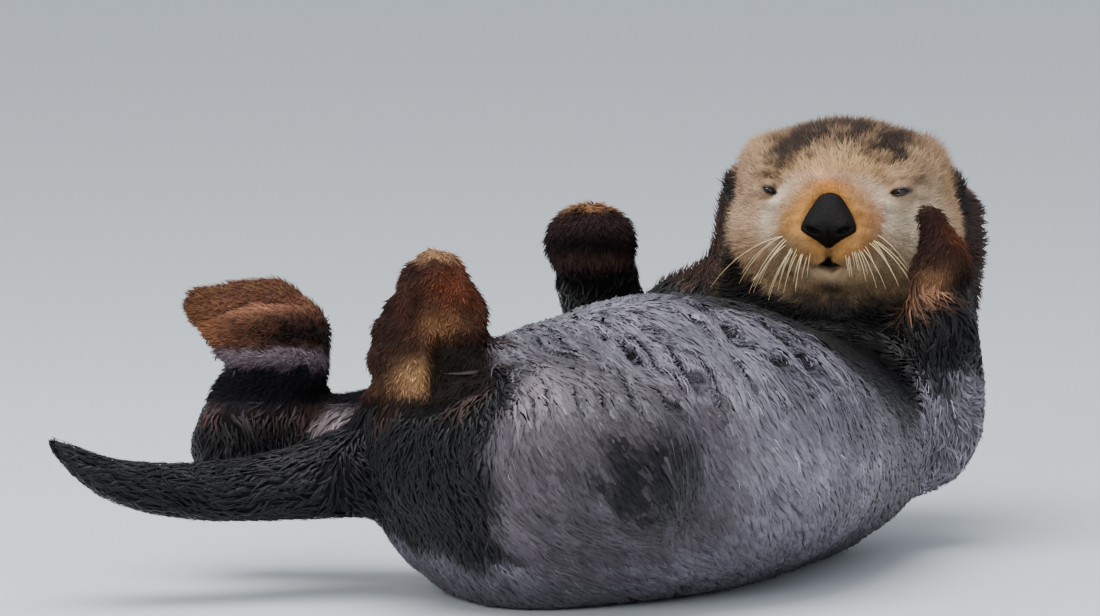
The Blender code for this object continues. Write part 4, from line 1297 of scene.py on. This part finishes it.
EYE_SPECKS = 900.0  # to a metre, so that each is about 1.1 mm across
eye_specks = {"scale": EYE_SPECKS, "detail": 2.0}
wet = {"Roughness": 0.12, "IOR": 1.38, "Coat_Weight": 1.0, "Coat_Roughness": 0.03}
wet_eye = two_tone("wet_dark_eye", ("#0d0807", "#2a1710"), "ShaderNodeTexNoise", eye_specks, **wet)[0]
lid_skin = new_material("hairless_lid_margin", Base_Color=(*linear("#1a110e"), 1), Roughness=0.35)[0]
for name, which in (("eye_left", 1), ("eye_right", -1)):
    deselect()
    spot = Vector(to_world((which * EYE_OUT, -EYE_SUNK, 0)))
    bpy.ops.mesh.primitive_uv_sphere_add(segments=40, ring_count=24, radius=EYE_RADIUS, location=spot)
    finish_piece(bpy.context.object, name + "_ball", wet_eye, [name])
    rim = new_curve(name + "_lids", 0.0007, 3)
    around = rim.splines.new("POLY")
    around.use_cyclic_u = True
    turns = np.linspace(0, 2 * math.pi, 49)[:-1]
    around.points.add(len(turns) - 1)
    out, over, long, high, tilt = SLITS[which]
    for point, turn in zip(around.points, turns):
        u, w = long * math.cos(turn), high * math.sin(turn) * abs(math.sin(turn))
        x = out + u * math.cos(tilt) - w * math.sin(tilt)
        z = over + u * math.sin(tilt) + w * math.cos(tilt)
        forward = math.sqrt(max((EYE_RADIUS + 0.0007) ** 2 - x * x - z * z, 0))
        point.co = (*to_world((which * (EYE_OUT + x), forward - EYE_SUNK, z)), 1)
    finish_piece(as_mesh(name + "_lids", rim), name + "_lids", lid_skin)


# ------------------------------------------------------------------ the nose
# A broad hairless pad of pebbled black leather, moist, with a rounded top, two comma-shaped
# nostrils and a point that runs down into the groove of the lip.

NOSE_OUTLINE = (
    (0.0, 0.0245), (0.0068, 0.0222), (0.0130, 0.0140), (0.0182, 0.0045), (0.0202, -0.0025),
    (0.0172, -0.0070), (0.0110, -0.0112), (0.0058, -0.0142), (0.0024, -0.0180), (0.0, -0.0195),
)
NOSE_LEVEL = -0.0262  # height of its widest line under the eyes
NOSE_DEPTH = 0.014
NOSTRIL = (0.0118, -0.0030)
nose_front = in_head(points_of(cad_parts["nose"].data))[:, 1].max()
SEGMENTS = 96
RINGS = 22
deselect()
bpy.ops.mesh.primitive_circle_add(vertices=SEGMENTS, radius=1.0, fill_type="NGON")
nose = bpy.context.object
bpy.ops.object.mode_set(mode="EDIT")
bpy.ops.mesh.select_all(action="SELECT")
bpy.ops.mesh.extrude_region_move(TRANSFORM_OT_translate={"value": (0, 0, 1)})
for ring in range(RINGS):
    bpy.ops.mesh.inset(thickness=0.96 / RINGS)
bpy.ops.object.mode_set(mode="OBJECT")
flat = points_of(nose.data)
radius = np.hypot(flat[:, 0], flat[:, 1])
turn = np.arctan2(np.abs(flat[:, 0]), flat[:, 1]) / math.pi * (len(NOSE_OUTLINE) - 1)
outline = np.array([smooth_between(NOSE_OUTLINE, t) for t in turn])
nx = np.sign(flat[:, 0]) * outline[:, 0] * radius
nz = outline[:, 1] * radius
ny = np.where(flat[:, 2] > 0.5, 0.0, -NOSE_DEPTH)
ny -= 0.0060 * radius**4 + 0.0080 * step(0.0, 0.0245, nz) + 0.0060 * step(-0.002, -0.0200, nz)
ny += 0.0016 * np.exp(-(((np.abs(nx) - 0.0125) / 0.005) ** 2) - ((nz + 0.0005) / 0.005) ** 2)
ny -= 0.0022 * np.exp(-((nx / 0.0013) ** 2)) * step(0.002, -0.010, nz)
comma = ((np.abs(nx) - NOSTRIL[0]) / 0.0046) ** 2
comma += ((nz - NOSTRIL[1] - 0.35 * (np.abs(nx) - NOSTRIL[0])) / 0.0019) ** 2
pit = np.exp(-(comma**1.5))
ny -= np.where(flat[:, 2] > 0.5, 0.0055 * pit, 0)
set_points(nose.data, to_world(np.stack([nx, nose_front + ny, NOSE_LEVEL + nz], axis=1)))
edit_all(bpy.ops.mesh.normals_make_consistent, inside=False)

PEBBLE = 0.0011  # width of one pebble of the leather
pebbles = {"feature": "SMOOTH_F1", "scale": 1 / PEBBLE}
moist = {"Roughness": 0.55, "Specular_IOR_Level": 0.12}
leather, tree, shader, raised = two_tone(
    "moist_nose_leather", ("#181312", "#080606"), "ShaderNodeTexVoronoi", pebbles, **moist
)
grain = add_node(
    tree, "ShaderNodeBump", {"Height": raised}, invert=True, Strength=0.9, Distance=0.0006
)
tree.links.new(grain.outputs["Normal"], shader.inputs["Normal"])
finish_piece(nose, "nose_pad", leather, ["nose"])


# ------------------------------------------------------------------ whiskers
# Stiff cream bristles from the whisker pads, drooping to the sides and under the chin.

bristle = new_material("cream_whisker_horn", Base_Color=(*linear("#ecd3a4"), 1), Roughness=0.45)[0]
WHISKERS = 18
random = np.random.default_rng(81)
bristles = new_curve("whiskers", 0.00034, 1)
bristles.use_fill_caps = True
for which in (-1, 1):
    for k in range(WHISKERS):
        outer = max(0, k + random.uniform(-0.3, 0.3)) / (WHISKERS - 1)
        x = which * (0.013 + 0.023 * outer + random.uniform(-0.002, 0.002))
        z = -0.045 + 0.011 * outer + random.uniform(-0.003, 0.003)
        ray = Vector(to_world((x, 0.12, z)))
        forward = Vector(to_world((0, 1, 0)) - to_world((0, 0, 0)))
        root = skin_tree.ray_cast(ray, -forward)[0]
        start = in_head(np.array(root))
        length = (0.022 + 0.044 * outer**1.5) * random.uniform(0.7, 1.2) * (0.75 if which > 0 else 1)
        slope = math.radians(80 - 62 * outer**1.2 + random.uniform(-9, 9))
        heading = np.array([which * math.cos(slope), 0.55 - 0.35 * outer, -math.sin(slope)])
        strand = bristles.splines.new("POLY")
        steps = 12
        strand.points.add(steps)
        place = start - 0.002 * np.array([0, 1, 0])
        for point_index in range(steps + 1):
            t = point_index / steps
            strand.points[point_index].co = (*to_world(place), 1)
            strand.points[point_index].radius = 1 - 0.75 * t
            heading = heading + np.array([0, -0.035, -0.075])
            heading /= np.linalg.norm(heading)
            place = place + heading * length / steps
finish_piece(as_mesh("whiskers", bristles), "whiskers", bristle)


# ------------------------------------------------------------------ claws
# Small curved claws of dark horn banded with paler horn, worn short.

CLAW_BAND = 0.0025  # width of the pale and dark bands
bands = {"scale": 1 / CLAW_BAND, "detail": 2.0}
horn = two_tone("worn_claw_horn", ("#1e1714", "#4a3a2c"), "ShaderNodeTexNoise", bands, Roughness=0.4)[0]
CLAW_SHOWN = 0.40  # share of each claw's length that isn't worn away
for limb, end in (
    ("fore_left", "forepaw_left"),
    ("fore_right", "forepaw_right"),
    ("hind_left", "hind_foot_left"),
    ("hind_right", "hind_foot_right"),
):
    bed = np.array(middle(end))
    nodes = [f"claw_{limb}_{k + 1}" for k in range(5)]
    claws = take_copy(f"claws_{limb}", nodes)
    worn = points_of(claws.data)
    for node in nodes:
        low, high = (np.array(corner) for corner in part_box(node))
        inside = ((worn > low - 0.0002) & (worn < high + 0.0002)).all(1)
        root = worn[inside][np.linalg.norm(worn[inside] - bed, axis=1).argmin()]
        worn[inside] = root + CLAW_SHOWN * (worn[inside] - root)
    set_points(claws.data, worn)
    apply_modifier(claws, "SUBSURF", levels=2, render_levels=2)
    finish_piece(claws, f"claws_{limb}", horn, nodes)
